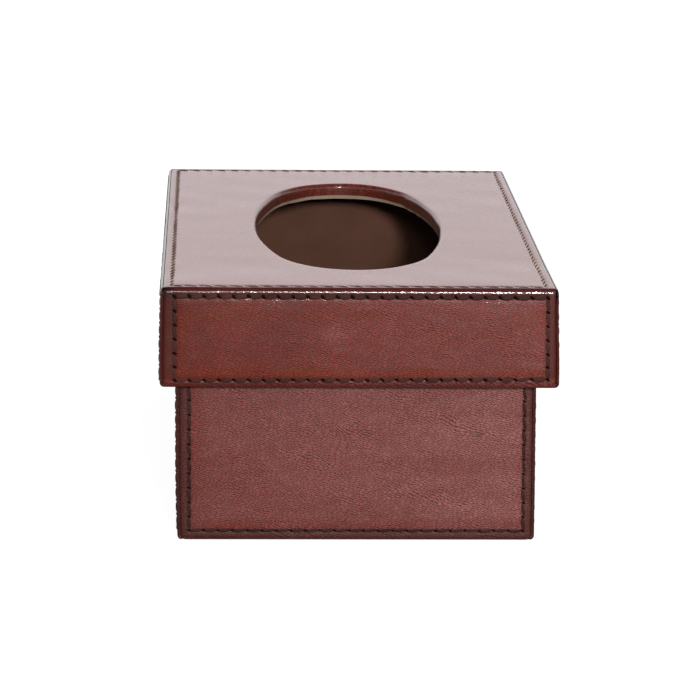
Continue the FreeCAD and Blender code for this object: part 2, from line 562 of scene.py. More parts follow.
def build_mottle_group() -> Tree:
    """Build the uneven dye of the hide: broad clouds, hand-rubbed streaks and small blotches.

    Returns:
        A group with the outputs Cloud, Streak and Blotch, each from 0 to 1.
    """
    tree, vector, end = new_group("hide mottle", "Cloud", "Streak", "Blotch")
    feed(tree, ramp(tree, noise_of(tree, vector, 26.0, 3.0), 0.36, 0.66), end.inputs["Cloud"])
    rubbed = stretched(tree, vector, 6.0, math.radians(-2))
    feed(tree, ramp(tree, noise_of(tree, rubbed, 95.0, 3.0), 0.40, 0.72), end.inputs["Streak"])
    feed(tree, ramp(tree, noise_of(tree, vector, 210.0, 4.0, 0.6), 0.38, 0.70), end.inputs["Blotch"])
    return tree


def build_nap_group() -> Tree:
    """Build the short nap of suede: fibres lying in soft patches.

    Returns:
        A group with the outputs Height and Shade.
    """
    tree, vector, end = new_group("suede nap", "Height", "Shade")
    fibres = noise_of(tree, vector, 2600.0, 3.0, 0.7)
    patches = noise_of(tree, vector, 45.0, 2.0)
    feed(tree, fibres, end.inputs["Height"])
    shade = calculate(tree, "MULTIPLY_ADD", fibres, 0.45, calculate(tree, "MULTIPLY", patches, 0.55))
    feed(tree, ramp(tree, shade, 0.32, 0.68), end.inputs["Shade"])
    return tree


@dataclass(frozen=True)
class LeatherFinish:
    """Glazed, hand-dyed leather with dark edges.

    Attributes:
        name: The material's name.
        body: The dye where it is thin.
        deep: The dye where it lies thick.
        glow: Places rubbed through to the warmer ground.
        dust_and_sheen: A pale colour, partly dust on the hide and partly a painted sheen and a painted
            reflection of the floor.
        edge: The burnished edges and margins, also used for painted shade.
        crease_dye_and_shade: What the grain's creases multiply the colour by: dye that gathers in them, and
            painted shade.
        hole: Near-black colour painted at the mouths of the awl holes, as their shade.
        crease: Strength of the creases' colour.
        grain_depth: Height of the grain.
        roughness: Roughness under the glaze.
        specular: Specular level under the glaze.
        coat_roughness: Roughness of the glaze.
        coat_tint: Tint of the glaze.
    """

    name: str
    body: Colour = (0.224, 0.026, 0.017)
    deep: Colour = (0.150, 0.013, 0.009)
    glow: Colour = (0.232, 0.034, 0.004)
    dust_and_sheen: Colour = (0.318, 0.092, 0.084)
    edge: Colour = (0.050, 0.010, 0.007)
    crease_dye_and_shade: Colour = (0.08, 0.05, 0.05)
    hole: Colour = (0.006, 0.002, 0.002)
    crease: float = 0.95
    grain_depth: float = 0.022 * MM
    roughness: float = 0.30
    specular: float = 0.20
    coat_roughness: float = 0.065
    coat_tint: Colour = (1.0, 1.0, 1.0)

    def dye(self, recipe: Recipe, hide: Socket, mottle: Tree, crease: Socket, edge: Socket) -> Socket:
        """Mix the hide's colour.

        Args:
            recipe: The material.
            hide: Place on the hide.
            mottle: The dye group.
            crease: How deep the grain's creases are.
            edge: How dark the edges are dyed, with painted shade added.

        Returns:
            The colour's socket.
        """
        spots = recipe.group(mottle, Vector=hide).outputs
        colour = recipe.mix(spots["Cloud"], self.deep, self.body)
        dust = recipe.calc("MULTIPLY_ADD", spots["Blotch"], 0.30, 0.70)
        # Pale where the stored field says: dust, a painted sheen across the fronts and a painted reflection
        # of the floor.
        colour = recipe.mix(recipe.calc("MULTIPLY", dust, recipe.stored("bloom")), colour, self.dust_and_sheen)
        rubbed = recipe.calc("MULTIPLY_ADD", spots["Streak"], 0.45, 0.55)
        rubbed = recipe.calc("MULTIPLY", recipe.stored("rub"), rubbed)
        warm = recipe.calc("MAXIMUM", rubbed, recipe.calc("MULTIPLY", spots["Streak"], 0.45))
        colour = recipe.mix(warm, colour, self.glow)
        # Darker in the grain's creases: dye that gathers there, and painted shade.
        colour = recipe.mix(recipe.calc("MULTIPLY", crease, self.crease), colour, self.crease_dye_and_shade, "MULTIPLY")
        colour = recipe.mix(recipe.calc("MULTIPLY", edge, 0.80), colour, self.edge)
        # Near black at the awl holes and the corner gap: painted shade.
        return recipe.mix(recipe.stored("pit"), colour, self.hole)

    def material(self, grain: Tree, mottle: Tree) -> bpy.types.Material:
        """Make the material.

        Args:
            grain: The grain group.
            mottle: The dye group.

        Returns:
            A material that reads the hide map and the fields edge, pit, bloom, rub and worn.
        """
        recipe = Recipe(self.name)
        hide = recipe.add("ShaderNodeUVMap", uv_map="hide").outputs["UV"]
        skin = recipe.group(grain, Vector=hide).outputs
        edge = recipe.stored("edge")
        glaze = recipe.calc("MULTIPLY_ADD", recipe.stored("worn"), -0.85, 1.0)
        wrinkle = recipe.calc("MULTIPLY", edge, noise_of(recipe.tree, hide, 600.0, 1.0))
        height = recipe.calc("ADD", recipe.calc("MULTIPLY", wrinkle, 2.5), skin["Height"])
        recipe.settle(
            Base_Color=self.dye(recipe, hide, mottle, skin["Crease"], edge),
            Roughness=recipe.calc("MULTIPLY_ADD", skin["Crease"], 0.12, self.roughness),
            Specular_IOR_Level=self.specular, Coat_Weight=glaze, Coat_Roughness=self.coat_roughness,
            Coat_Tint=self.coat_tint, Coat_Normal=recipe.relief(height, self.grain_depth))
        return recipe.material


@dataclass(frozen=True)
class FibreFinish:
    """Something fibrous, without a glaze: suede, fibreboard or waxed thread.

    Attributes:
        name: The material's name.
        deep: Colour between the fibres.
        body: Colour of the fibres.
        roughness: Roughness.
        specular: Specular level.
        sheen: Weight of the soft sheen.
        nap_depth: Height of the fibres; 0 leaves the surface flat.
    """

    name: str
    deep: Colour
    body: Colour
    roughness: float
    specular: float
    sheen: float = 0.0
    nap_depth: float = 0.0

    def material(self, nap: Tree) -> bpy.types.Material:
        """Make the material from the nap group."""
        recipe = Recipe(self.name)
        pile = recipe.group(nap, Vector=recipe.where()).outputs
        recipe.settle(Base_Color=recipe.mix(pile["Shade"], self.deep, self.body), Roughness=self.roughness,
                      Specular_IOR_Level=self.specular, Sheen_Weight=self.sheen)
        if self.nap_depth:
            recipe.relief(pile["Height"], self.nap_depth)
        return recipe.material


def suede_finish(name: str, body: Colour, deep: Colour) -> FibreFinish:
    """Give the finish of a suede.

    Args:
        name: The material's name.
        body: Colour of the nap.
        deep: Colour between the fibres.

    Returns:
        The finish.
    """
    return FibreFinish(name, deep, body, 0.95, 0.1, sheen=0.10, nap_depth=0.15 * MM)


def thread_finish(name: str, colour: Colour, roughness: float = 0.60, specular: float = 0.05) -> FibreFinish:
    """Give the finish of a waxed thread.

    Args:
        name: The material's name.
        colour: Its colour; the fibres are lighter.
        roughness: Its roughness.
        specular: Its specular level.

    Returns:
        The finish.
    """
    light = tuple(min(1.0, part * 1.7) for part in colour)
    return FibreFinish(name, colour, light, roughness, specular, nap_depth=0.02 * MM)


def board_finish(name: str, low: Colour, high: Colour) -> FibreFinish:
    """Give the finish of a bare board or a cut edge.

    Args:
        name: The material's name.
        low: Colour between the fibres.
        high: Colour of the fibres.

    Returns:
        The finish.
    """
    return FibreFinish(name, low, high, 0.85, 0.1)


LID_LEATHER = LeatherFinish("leather lid")
# The top's leather is lighter and redder than the walls' leather of the same hide: painted light on the top's
# face.
TOP_LEATHER = LeatherFinish(
    "leather top", body=(0.290, 0.055, 0.045), deep=(0.230, 0.038, 0.032), glow=(0.330, 0.060, 0.050),
    dust_and_sheen=(0.240, 0.080, 0.070), crease=0.40, grain_depth=0.015 * MM, specular=0.5,
    coat_tint=(1.0, 0.66, 0.68))
BASE_LEATHER = LeatherFinish(
    "leather base", body=(0.200, 0.032, 0.025), deep=(0.165, 0.024, 0.018), glow=(0.215, 0.040, 0.026),
    dust_and_sheen=(0.345, 0.116, 0.105), edge=(0.020, 0.005, 0.003), specular=0.15, roughness=0.42,
    coat_roughness=0.20)


@dataclass
class Palette:
    """Every material of the box, made once."""

    leather_lid: bpy.types.Material
    leather_top: bpy.types.Material
    leather_base: bpy.types.Material
    suede: bpy.types.Material
    underside: bpy.types.Material
    cut_edge: bpy.types.Material
    board: bpy.types.Material
    thread: bpy.types.Material
    dark_thread: bpy.types.Material
    pale_ply: bpy.types.Material
    dark_ply: bpy.types.Material
    slit: bpy.types.Material

    @classmethod
    def mix(cls) -> "Palette":
        """Build the node groups and then every material."""
        grain = build_grain_group()
        mottle = build_mottle_group()
        nap = build_nap_group()
        return cls(
            leather_lid=LID_LEATHER.material(grain, mottle),
            leather_top=TOP_LEATHER.material(grain, mottle),
            leather_base=BASE_LEATHER.material(grain, mottle),
            suede=suede_finish("brown suede", (0.115, 0.052, 0.034), (0.088, 0.039, 0.025)).material(nap),
            underside=suede_finish(
                "underside suede", (0.05, 0.030, 0.022), (0.03, 0.018, 0.014)).material(nap),
            cut_edge=board_finish("cut suede", (0.23, 0.165, 0.125), (0.33, 0.25, 0.19)).material(nap),
            board=board_finish("fibreboard", (0.27, 0.17, 0.09), (0.40, 0.27, 0.16)).material(nap),
            thread=thread_finish("waxed thread", (0.042, 0.016, 0.013)).material(nap),
            dark_thread=thread_finish("dark thread", (0.030, 0.013, 0.010)).material(nap),
            # One thread in two colours: a painted highlight on its lit side and painted shade on its shaded
            # side.
            pale_ply=thread_finish("pale ply", (0.430, 0.320, 0.270), 0.45, 0.4).material(nap),
            dark_ply=thread_finish("dark ply", (0.070, 0.036, 0.030), 0.7, 0.05).material(nap),
            # Near black: thread in the hole, with painted shade.
            slit=thread_finish("thread in its hole", (0.005, 0.002, 0.002), 0.8, 0.05).material(nap))


# ---------------------------------------------------------------- stitching

@dataclass
class StitchRow:
    """One straight row of saddle stitches on a panel's face, in the panel's own frame."""

    start: tuple[float, float]
    end: tuple[float, float]
    count: int

    @property
    def length(self) -> float:
        """Distance from the first hole to the last."""
        return math.dist(self.start, self.end)

    @property
    def pitch(self) -> float:
        """Distance from one hole to the next."""
        return self.length / self.count

    @property
    def heading(self) -> float:
        """Direction of the row in the panel's frame, in radians."""
        return math.atan2(self.end[1] - self.start[1], self.end[0] - self.start[0])

    def nearness(self, u: np.ndarray, v: np.ndarray) -> tuple[np.ndarray, np.ndarray]:
        """Measure points against the row.

        Args:
            u: First coordinate of each point.
            v: Second coordinate of each point.

        Returns:
            Distance to the row, and distance to the nearest hole of it.
        """
        du = (self.end[0] - self.start[0]) / self.length
        dv = (self.end[1] - self.start[1]) / self.length
        along = (u - self.start[0]) * du + (v - self.start[1]) * dv
        across = (v - self.start[1]) * du - (u - self.start[0]) * dv
        held = np.clip(along, 0, self.length)
        hole = np.clip(np.round(along / self.pitch), 0, self.count) * self.pitch
        return np.hypot(across, along - held), np.hypot(across, along - hole)


@dataclass
class Stitching:
    """A closed rectangle of stitch rows and the thread that fills it.

    Attributes:
        low_u: Place of the left column.
        high_u: Place of the right column.
        low_v: Place of the lower row.
        high_v: Place of the upper row.
        seed: Seed of the unevenness.
        target: Stitch length aimed at.
        width: Width of the thread.
        height: Height of the thread.
        rise: How far it stands out from the face.
        slant: Turn of each stitch against its row.
        slit_way: Direction of the awl's slits on the panel.
        lit_and_shaded_plies: Whether each stitch is a pale and a dark thread side by side, for its lit and
            its shaded side: a painted highlight and painted shade.
    """

    low_u: float
    high_u: float
    low_v: float
    high_v: float
    seed: int
    target: float = 5.4 * MM
    width: float = 1.5 * MM
    height: float = 0.95 * MM
    rise: float = 0.40 * MM
    slant: float = math.radians(8)
    slit_way: float = math.radians(-30)
    lit_and_shaded_plies: bool = False

    def rows(self) -> list[StitchRow]:
        """Give the four rows, anticlockwise from the lower one."""
        across = max(1, round((self.high_u - self.low_u) / self.target))
        up = max(1, round((self.high_v - self.low_v) / self.target))
        corners = [(self.low_u, self.low_v), (self.high_u, self.low_v),
                   (self.high_u, self.high_v), (self.low_u, self.high_v)]
        counts = [across, up, across, up]
        return [StitchRow(corners[i], corners[(i + 1) % 4], counts[i]) for i in range(4)]

    def nearness(self, u: np.ndarray, v: np.ndarray) -> tuple[np.ndarray, np.ndarray]:
        """Measure points against all four rows.

        Args:
            u: First coordinate of each point.
            v: Second coordinate of each point.

        Returns:
            Distance to the nearest row, and distance to the nearest hole.
        """
        pairs = [row.nearness(u, v) for row in self.rows()]
        return np.min([pair[0] for pair in pairs], axis=0), np.min([pair[1] for pair in pairs], axis=0)

    def inside(self, u: np.ndarray, v: np.ndarray) -> np.ndarray:
        """Measure how far points lie inside the rectangle.

        Args:
            u: First coordinate of each point.
            v: Second coordinate of each point.

        Returns:
            Distance to the rectangle, below 0 outside it.
        """
        return np.minimum.reduce([u - self.low_u, self.high_u - u, v - self.low_v, self.high_v - v])

    def bead(self, length: float, sideways: float) -> bpy.types.Object:
        """Model one stitch lying along u, with its ends going down into their holes.

        Args:
            length: Distance between the two holes.
            sideways: How far to the left of the row it lies.

        Returns:
            The stitch, centred over the panel's face.
        """
        bpy.ops.mesh.primitive_uv_sphere_add(segments=8, ring_count=8, radius=1.0)
        piece = bpy.context.object
        with editing(piece, "VERT"):
            bpy.ops.mesh.select_all(action="SELECT")
            bpy.ops.transform.rotate(value=math.radians(90), orient_axis="Y", center_override=(0, 0, 0))
        points = points_of(piece)
        t = points[:, 0].copy()
        points[:, 0] = t * (length * 0.5 + 0.12 * MM)
        points[:, 1] = points[:, 1] * self.width / 2 + sideways
        points[:, 2] = points[:, 2] * self.height / 2 + self.rise - self.height / 2
        points[:, 2] -= 0.62 * MM * np.abs(t) ** 3.2
        set_points(piece, points)
        return piece

    def slit(self) -> bpy.types.Object:
        """Model the mouth of one awl hole, filled with thread and coloured near black as painted shade."""
        bpy.ops.mesh.primitive_uv_sphere_add(segments=8, ring_count=4, radius=1.0)
        piece = bpy.context.object
        points = points_of(piece)
        points *= (self.width * 0.58, self.width * 0.27, 0.34 * MM)
        set_points(piece, points)
        return piece

    def strew(self, model: bpy.types.Object, row: StitchRow, at_holes: bool, angle: float,
              dice: np.random.RandomState) -> bpy.types.Object:
        """Repeat a model along a row, with a little unevenness from one to the next.

        Args:
            model: The stitch or slit, which this uses up.
            row: The row to fill.
            at_holes: Whether the copies lie at the holes, and not between them.
            angle: Turn of each copy against the row.
            dice: Random numbers.

        Returns:
            One mesh with every copy.
        """
        only(model)
        copies = row.count + (1 if at_holes else 0)
        size = len(model.data.vertices)
        apply_modifier(model, "ARRAY", count=copies, use_relative_offset=False, use_constant_offset=True,
                       constant_offset_displace=(row.pitch, 0.0, 0.0))
        points = points_of(model).reshape(copies, size, 3)
        steps = np.arange(copies) * row.pitch
        points[:, :, 0] -= steps[:, None]
        turn = angle + dice.normal(0, math.radians(2.0), copies)
        scale = 1 + dice.normal(0, 0.05, copies)
        lift = dice.normal(0, 0.03 * MM, copies)
        sideways = dice.normal(0, 0.05 * MM, copies)
        x = points[:, :, 0].copy()
        y = points[:, :, 1] * scale[:, None]
        points[:, :, 0] = x * np.cos(turn)[:, None] - y * np.sin(turn)[:, None]
        points[:, :, 1] = x * np.sin(turn)[:, None] + y * np.cos(turn)[:, None] + sideways[:, None]
        points[:, :, 2] += lift[:, None]
        points[:, :, 0] += steps[:, None] + (0.0 if at_holes else row.pitch / 2)
        points = points.reshape(-1, 3)
        du = (row.end[0] - row.start[0]) / row.length
        dv = (row.end[1] - row.start[1]) / row.length
        placed = np.empty_like(points)
        placed[:, 0] = row.start[0] + points[:, 0] * du - points[:, 1] * dv
        placed[:, 1] = row.start[1] + points[:, 0] * dv + points[:, 1] * du
        placed[:, 2] = points[:, 2]
        set_points(model, placed)
        return model

    def build(self, name: str, palette: Palette, dark: bool = False) -> bpy.types.Object:
        """Model every stitch and hole of the panel as one piece.

        Args:
            name: The piece's name.
            palette: The materials.
            dark: Whether the thread is the darker one of the base.

        Returns:
            The thread, in the panel's own frame.
        """
        dice = np.random.RandomState(self.seed)
        made = []
        for row in self.rows():
            side = -0.5 if row.start[1] == row.end[1] == self.low_v else 0.5
            # A pale ply for the thread's painted lit side and a dark ply for its painted shaded side.
            if self.lit_and_shaded_plies:
                plies = ((palette.pale_ply, -side), (palette.dark_ply, side))
            else:
                plies = ((palette.dark_thread if dark else palette.thread, 0.0),)
            for material, shift in plies:
                threads = self.strew(self.bead(row.pitch, shift * self.width), row, False, self.slant, dice)
                threads.data.materials.append(material)
                made.append(threads)
            if not self.lit_and_shaded_plies:
                slits = self.strew(self.slit(), row, True, self.slit_way - row.heading, dice)
                slits.data.materials.append(palette.slit)
                made.append(slits)
        bpy.ops.object.select_all(action="DESELECT")
        for part in made:
            part.select_set(True)
        bpy.context.view_layer.objects.active = made[0]
        bpy.ops.object.join()
        piece = made[0]
        piece.name = name
        smooth(piece, 70.0)
        return piece


# ---------------------------------------------------------------- leather panels

def split_span(length: float, low: float, high: float, inner: int) -> np.ndarray:
    """Space grid lines over a span so that they fall on the stitch rows and the holes.

    Args:
        length: The span.
        low: Distance from the start to the first row.
        high: Distance from the end to the last row.
        inner: How many cells lie between the rows.

    Returns:
        Places of the lines, from 0 to length.
    """
    shares = np.array([0.0, 0.12, 0.30, 0.55, 0.78])
    start = low * shares
    end = length - high * shares[::-1]
    return np.concatenate([start, np.linspace(low, length - high, inner + 1), end])


@dataclass(frozen=True)
class Mark:
    """A soft spot in a panel's dye: darker with a strength above 0, paler with one below."""

    u: float
    v: float
    size: float
    strength: float

    def on(self, u: np.ndarray, v: np.ndarray) -> np.ndarray:
        """Give the spot's strength at each point; it is wider than it is high.

        Args:
            u: First coordinate of each point.
            v: Second coordinate of each point.

        Returns:
            The strength, which falls off to 0 round the spot.
        """
        return self.strength * bump(np.hypot(u - self.u, (v - self.v) * 1.5), self.size)


@dataclass
class WallPanel:
    """One wall's leather: a stitched sheet, rounded at its edges and turned over at its open rims.

    Attributes:
        node: The solid that the leather replaces.
        body: The body that carries it.
        facing: The way it faces.
        width: Its size along u.
        height: Its size along v.
        base_level: World height of its lower edge.
        reach: Distance of its face from the box's middle.
        stitch_side: Distance of the stitch columns from its ends.
        stitch_low: Distance of the lower row from the lower edge.
        stitch_high: Distance of the upper row from the upper edge.
        low_turn: How far the leather is turned in under its lower edge.
        low_round: Radius of the lower edge.
        high_turn: How far it is turned in over its upper edge; 0 leaves a cut edge.
        high_round: Radius of the upper edge.
        corner_round: Radius of its two ends.
        seed: Seed of its unevenness.
        bloom: Paleness at its left and its right end: dust on the hide, and on the fronts a painted sheen
            towards the right.
        lean: How far the wall leans in at the top.
        band: Strength of the rubbed band under the upper row.
        right_low: How far the box's right side stands out at the lower edge.
        right_high: How far it stands out at the upper edge.
        slim: Whether the thread is the thinner, darker one of the base.
        row_rise: How much too high the lower row is sewn, at its left and its right end.
        column_shift: How far too far right the right column is sewn.
        bulge: How far the box's left side bulges.
        low_dark: Darkness of the margin under the lower row, against the other margins.
        shade: Painted shade added towards the upper left corner.
        marks: Spots in the dye.
        thickness: Thickness of the leather.
        cells: Cells of the grid from one hole to the next.
        stitching: The stitch rows, laid out from the sizes.
    """

    node: str
    body: str
    facing: Facing
    width: float
    height: float
    base_level: float
    reach: float
    stitch_side: float
    stitch_low: float
    stitch_high: float
    low_turn: float
    low_round: float
    high_turn: float
    high_round: float
    corner_round: float
    seed: int
    bloom: tuple[float, float] = (0.25, 0.25)
    lean: float = 0.0
    band: float = 0.0
    right_low: float = 0.0
    right_high: float = 0.0
    slim: bool = False
    row_rise: tuple[float, float] = (0.0, 0.0)
    column_shift: float = 0.0
    bulge: float = 0.0
    low_dark: float = 1.0
    shade: float = 0.0
    marks: tuple[Mark, ...] = ()
    thickness: float = 1.2 * MM
    cells: int = 6
    stitching: Stitching = field(init=False)

    def __post_init__(self) -> None:
        """Lay out the stitches from the panel's sizes."""
        half = self.width / 2
        self.stitching = Stitching(self.stitch_side - half, half - self.stitch_side, self.stitch_low,
                                   self.height - self.stitch_high, self.seed,
                                   width=(1.35 if self.slim else 1.7) * MM)

    def lines(self) -> tuple[np.ndarray, np.ndarray]:
        """Give the grid's lines across and up the flat part of the face."""
        rows = self.stitching.rows()
        across = split_span(self.width, self.stitch_side, self.stitch_side, rows[0].count * self.cells)
        flat = self.height - self.low_round - self.high_round
        up = split_span(flat, self.stitch_low - self.low_round, self.stitch_high - self.high_round,
                        rows[1].count * self.cells)
        return across - self.width / 2, up + self.low_round

    def sheet(self) -> bpy.types.Object:
        """Model the flat face as a grid, and turn its lower and upper edges over.

        Returns:
            An open sheet in the panel's own frame.
        """
        across, up = self.lines()
        bpy.ops.mesh.primitive_grid_add(x_subdivisions=len(across) - 1, y_subdivisions=len(up) - 1, size=1.0)
        piece = bpy.context.object
        points = points_of(piece)
        column = np.rint((points[:, 0] + 0.5) * (len(across) - 1)).astype(int)
        line = np.rint((points[:, 1] + 0.5) * (len(up) - 1)).astype(int)
        points[:, 0] = across[column]
        points[:, 1] = up[line]
        set_points(piece, points)
        self.turn_edge(piece, up[0], self.low_round, self.low_turn, -1)
        self.turn_edge(piece, up[-1], self.high_round, self.high_turn, 1)
        return piece

    def turn_edge(self, piece: bpy.types.Object, level: float, radius: float, turn: float, way: int) -> None:
        """Spin an edge of the sheet round, and extrude it inwards if the leather is turned in there.

        Args:
            piece: The sheet.
            level: Height of the edge.
            radius: Radius of the rounding.
            turn: How far the leather runs in from the face; 0 leaves a cut edge.
            way: 1 for the upper edge, -1 for the lower.
        """
        full = turn > 0
        angle = math.radians(90) if full else math.acos(max(0.0, 1 - self.thickness / radius))
        with editing(piece):
            select_edges(piece, lambda a, b: abs(a.y - level) < 1e-6 and abs(b.y - level) < 1e-6)
            bpy.ops.mesh.spin(steps=5, angle=angle, center=(0, level, -radius), axis=(way, 0, 0))
            if full:
                for share in (0.15, 0.85):
                    bpy.ops.mesh.extrude_region_move(
                        TRANSFORM_OT_translate={"value": (0, 0, -(turn - radius) * share)})

    def shape(self, piece: bpy.types.Object) -> None:
        """Press the stitch rows in, round the corners and mitre the turned edges.

        Args:
            piece: The open sheet, which keeps its faces.
        """
        points = points_of(piece)
        u, v, w = points.T.copy()
        half = self.width / 2
        face = ease(1 + w / (0.8 * MM))
        end = half - np.abs(u)
        inner = np.maximum(-w - self.thickness, 0)
        push = self.relief(u, v)
        drop = rounding(end, self.corner_round)
        climb = self.climb(v)
        points[:, 0] = u * (1 - inner / half)
        if self.facing.long_side:
            points[:, 2] = w + face * (push - drop - climb)
        else:
            points[:, 0] -= np.sign(u) * climb * ease(1 - end / (3 * MM)) * face
            points[:, 2] = w + face * (push - drop)
        if self.facing.long_side or self.low_turn > DEEP_TURN:
            for level, radius, way in ((0.0, self.low_round, 1), (self.height, self.high_round, -1)):
                near = ease(1 - np.abs(v - level) / (3 * radius))
                points[:, 1] += way * rounding(end, radius) * near * ease(1 - inner / (2.0 * MM))
        self.sew_by_hand(points)
        self.slant_right(points)
        set_points(piece, points)
        path = v - np.where(v < self.height / 2, 1, -1) * inner
        offset = self.seed * 0.37
        set_hide_map(piece, u + offset, path + offset * 0.61)
        self.dye(piece, u, v, w)

    def relief(self, u: np.ndarray, v: np.ndarray) -> np.ndarray:
        """Give how far the face stands out: its padded field, the rims of its rows, its rows and holes.

        Args:
            u: First coordinate of each point.
            v: Second coordinate of each point.

        Returns:
            Height of each point over the flat face.
        """
        row, hole = self.stitching.nearness(u, v)
        padding = 0.16 * MM * ease(self.stitching.inside(u, v) / (5 * MM))
        rim = 0.045 * MM * bump(row - 1.7 * MM, 0.9 * MM)
        push = padding + rim - 0.10 * MM * bump(row, 0.75 * MM) - 0.11 * MM * bump(hole, 0.8 * MM)
        upper = ease(1 - (self.height - v) / (3.4 * MM))
        push += 0.035 * MM * upper * ripples(u, 0.2 * v, self.seed + 2, 3.6 * MM)
        push += 0.07 * MM * ripples(u, v, self.seed, 34 * MM)
        push += 0.03 * MM * ripples(u, v, self.seed + 1, 9 * MM)
        return push

    def dye(self, piece: bpy.types.Object, u: np.ndarray, v: np.ndarray, w: np.ndarray) -> None:
        """Store where the hide is dark, pitted, worn, rubbed and pale, with painted shade, sheen and floor
        reflection among these, for its material to read.

        Args:
            piece: The sheet.
            u: First coordinate of each point, before the sheet was bent.
            v: Its second coordinate.
            w: Its third coordinate.
        """
        row, hole = self.stitching.nearness(u, v)
        face = ease(1 + w / (0.8 * MM))
        flat = ease(1 + w / (0.2 * MM))
        below = self.height - v
        share = u / self.width + 0.5
        left = u + self.width / 2
        outline = np.minimum(self.width / 2 - np.abs(u), np.minimum(v, below))
        lower = ease(1 - (v - self.stitching.low_v) / (0.5 * MM))
        margin = ease(1 - self.stitching.inside(u, v) / (1.2 * MM)) * 0.80 * (1 + (self.low_dark - 1) * lower)
        turned = w >= -self.thickness - 1e-6
        # A pale line along the base's lower rounding, with its dark edge dye lifted: a painted reflection of
        # the floor.
        painted_floor_reflection = bump(np.minimum(v, 0.6 * MM), 0.45 * MM) * (self.low_turn > DEEP_TURN) * turned
        cut = ease(1 - outline / (1.6 * MM))
        # A dark patch at the upper left corner, where the leathers meet: painted shade of the gap between
        # them.
        corner = bump(np.hypot(left, below - 0.4 * MM), 3.2 * MM) * 0.9
        # Darker towards the upper left: painted shade.
        shade = self.shade * (1 - share) * ease(v / self.height * 1.6 - 0.6)
        marks = sum((mark.on(u, v) for mark in self.marks), 0 * u)
        dark = margin + cut * 0.45 + corner + shade + np.maximum(marks, 0)
        set_field(piece, "edge", np.clip(dark, 0, 1) * (1 - 0.8 * painted_floor_reflection))
        # Painted shade in the awl holes and in the corner gap.
        set_field(piece, "pit", np.maximum(bump(hole, 0.62 * MM) * face, corner))
        above = below < self.stitch_high
        handled = bump(row, np.where(above, 0.9 * MM, 2.9 * MM)) * face
        set_field(piece, "worn", np.maximum(np.maximum(handled, corner), margin * flat * ~above))
        patchy = np.clip(0.75 + 0.5 * ripples(u, v * 2, self.seed + 3, 30 * MM), 0, 1)
        lower_rub = bump(v - self.stitch_low - 2.6 * MM, 3.0 * MM)
        left_rub = 0.8 * bump(left - self.stitch_side - 3.0 * MM, 4.0 * MM)
        upper_rub = self.band * bump(below - 8.8 * MM, 2.2 * MM) * (1 - 0.85 * ease(share))
        rub = np.maximum.reduce([lower_rub, left_rub, upper_rub])
        set_field(piece, "rub", np.clip(rub * patchy, 0, 1))
        # Paleness from end to end: dust, with a painted sheen that grows towards the right on the fronts.
        bloom = self.bloom[0] * (1 - share) + self.bloom[1] * share
        set_field(piece, "bloom", bloom + 1.5 * painted_floor_reflection + np.maximum(-marks, 0))

    def build(self, palette: Palette, leather: bpy.types.Material) -> list[bpy.types.Object]:
        """Model the leather and its stitches, and set both in place.

        Args:
            palette: The materials.
            leather: The leather of this panel.

        Returns:
            The leather and the thread.
        """
        piece = self.sheet()
        self.shape(piece)
        piece.name = self.node + "_hide"
        apply_modifier(piece, "SOLIDIFY", thickness=self.thickness, offset=-1.0, use_even_offset=True)
        smooth(piece, 50.0)
        piece.data.materials.append(leather)
        origin = self.origin()
        place(piece, self.facing.matrix(origin))
        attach(piece, self.body)
        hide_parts(self.node)
        thread = self.stitching.build(self.node.replace("leather", "stitches"), palette, self.slim)
        points = points_of(thread)
        if self.facing.long_side:
            points[:, 2] -= self.climb(points[:, 1])
        self.sew_by_hand(points)
        self.slant_right(points)
        set_points(thread, points)
        place(thread, self.facing.matrix(origin))
        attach(thread, self.body)
        return [piece, thread]

    def sew_by_hand(self, points: np.ndarray) -> None:
        """Lift the lower row, shift the right column, and raise the lid's upper edge to its crown.

        Args:
            points: Points in the panel's frame, which this changes.
        """
        u, v = points[:, 0].copy(), points[:, 1].copy()
        share = np.clip(u / self.width + 0.5, 0, 1)
        rise = self.row_rise[0] * (1 - share) + self.row_rise[1] * share
        points[:, 1] += rise * ease(v / self.stitch_low) * ease(1 - (v - self.stitch_low) / (9 * MM))
        if self.body == "lid":
            behind = {Facing.FRONT: 0 * u, Facing.LEFT: self.width / 2 - u, Facing.RIGHT: self.width / 2 + u,
                      Facing.BACK: 0 * u + CROWN_REACH}[self.facing]
            strip = ease((v - self.height + self.stitch_high) / (self.stitch_high - self.high_round))
            points[:, 1] += crowned(behind) * strip
        end = self.width / 2 - u
        points[:, 0] += self.column_shift * ease(end / self.stitch_side) * ease(
            1 - (end - self.stitch_side) / (14 * MM))

    def slant_right(self, points: np.ndarray) -> None:
        """Move the box's right side out or in with the height, and let the left side bulge.

        Args:
            points: Points in the panel's frame, which this changes.
        """
        level = np.clip(points[:, 1] / self.height, 0, 1)
        out = self.right_low * (1 - level) + self.right_high * level
        share = np.clip(points[:, 0] / self.width + 0.5, 0, 1)
        belly = self.bulge * 4 * level * (1 - level)
        if self.facing is Facing.FRONT:
            points[:, 0] += out * share - belly * ease(1 - share * self.width / self.stitch_side)
        elif self.facing is Facing.BACK:
            points[:, 0] += belly * ease(1 - (1 - share) * self.width / self.stitch_side) - out * (1 - share)
        elif self.facing is Facing.RIGHT:
            points[:, 2] += out
        else:
            points[:, 2] += belly

    def climb(self, v: np.ndarray) -> np.ndarray:
        """Give how far the wall leans in at each height."""
        return self.lean * ease((v / self.height - 0.25) / 0.7)

    def origin(self) -> Vector:
        """Give the world place of the middle of the face's lower edge."""
        outward = Vector(self.facing.value[2])
        return outward * self.reach + Vector((0, 0, self.base_level))


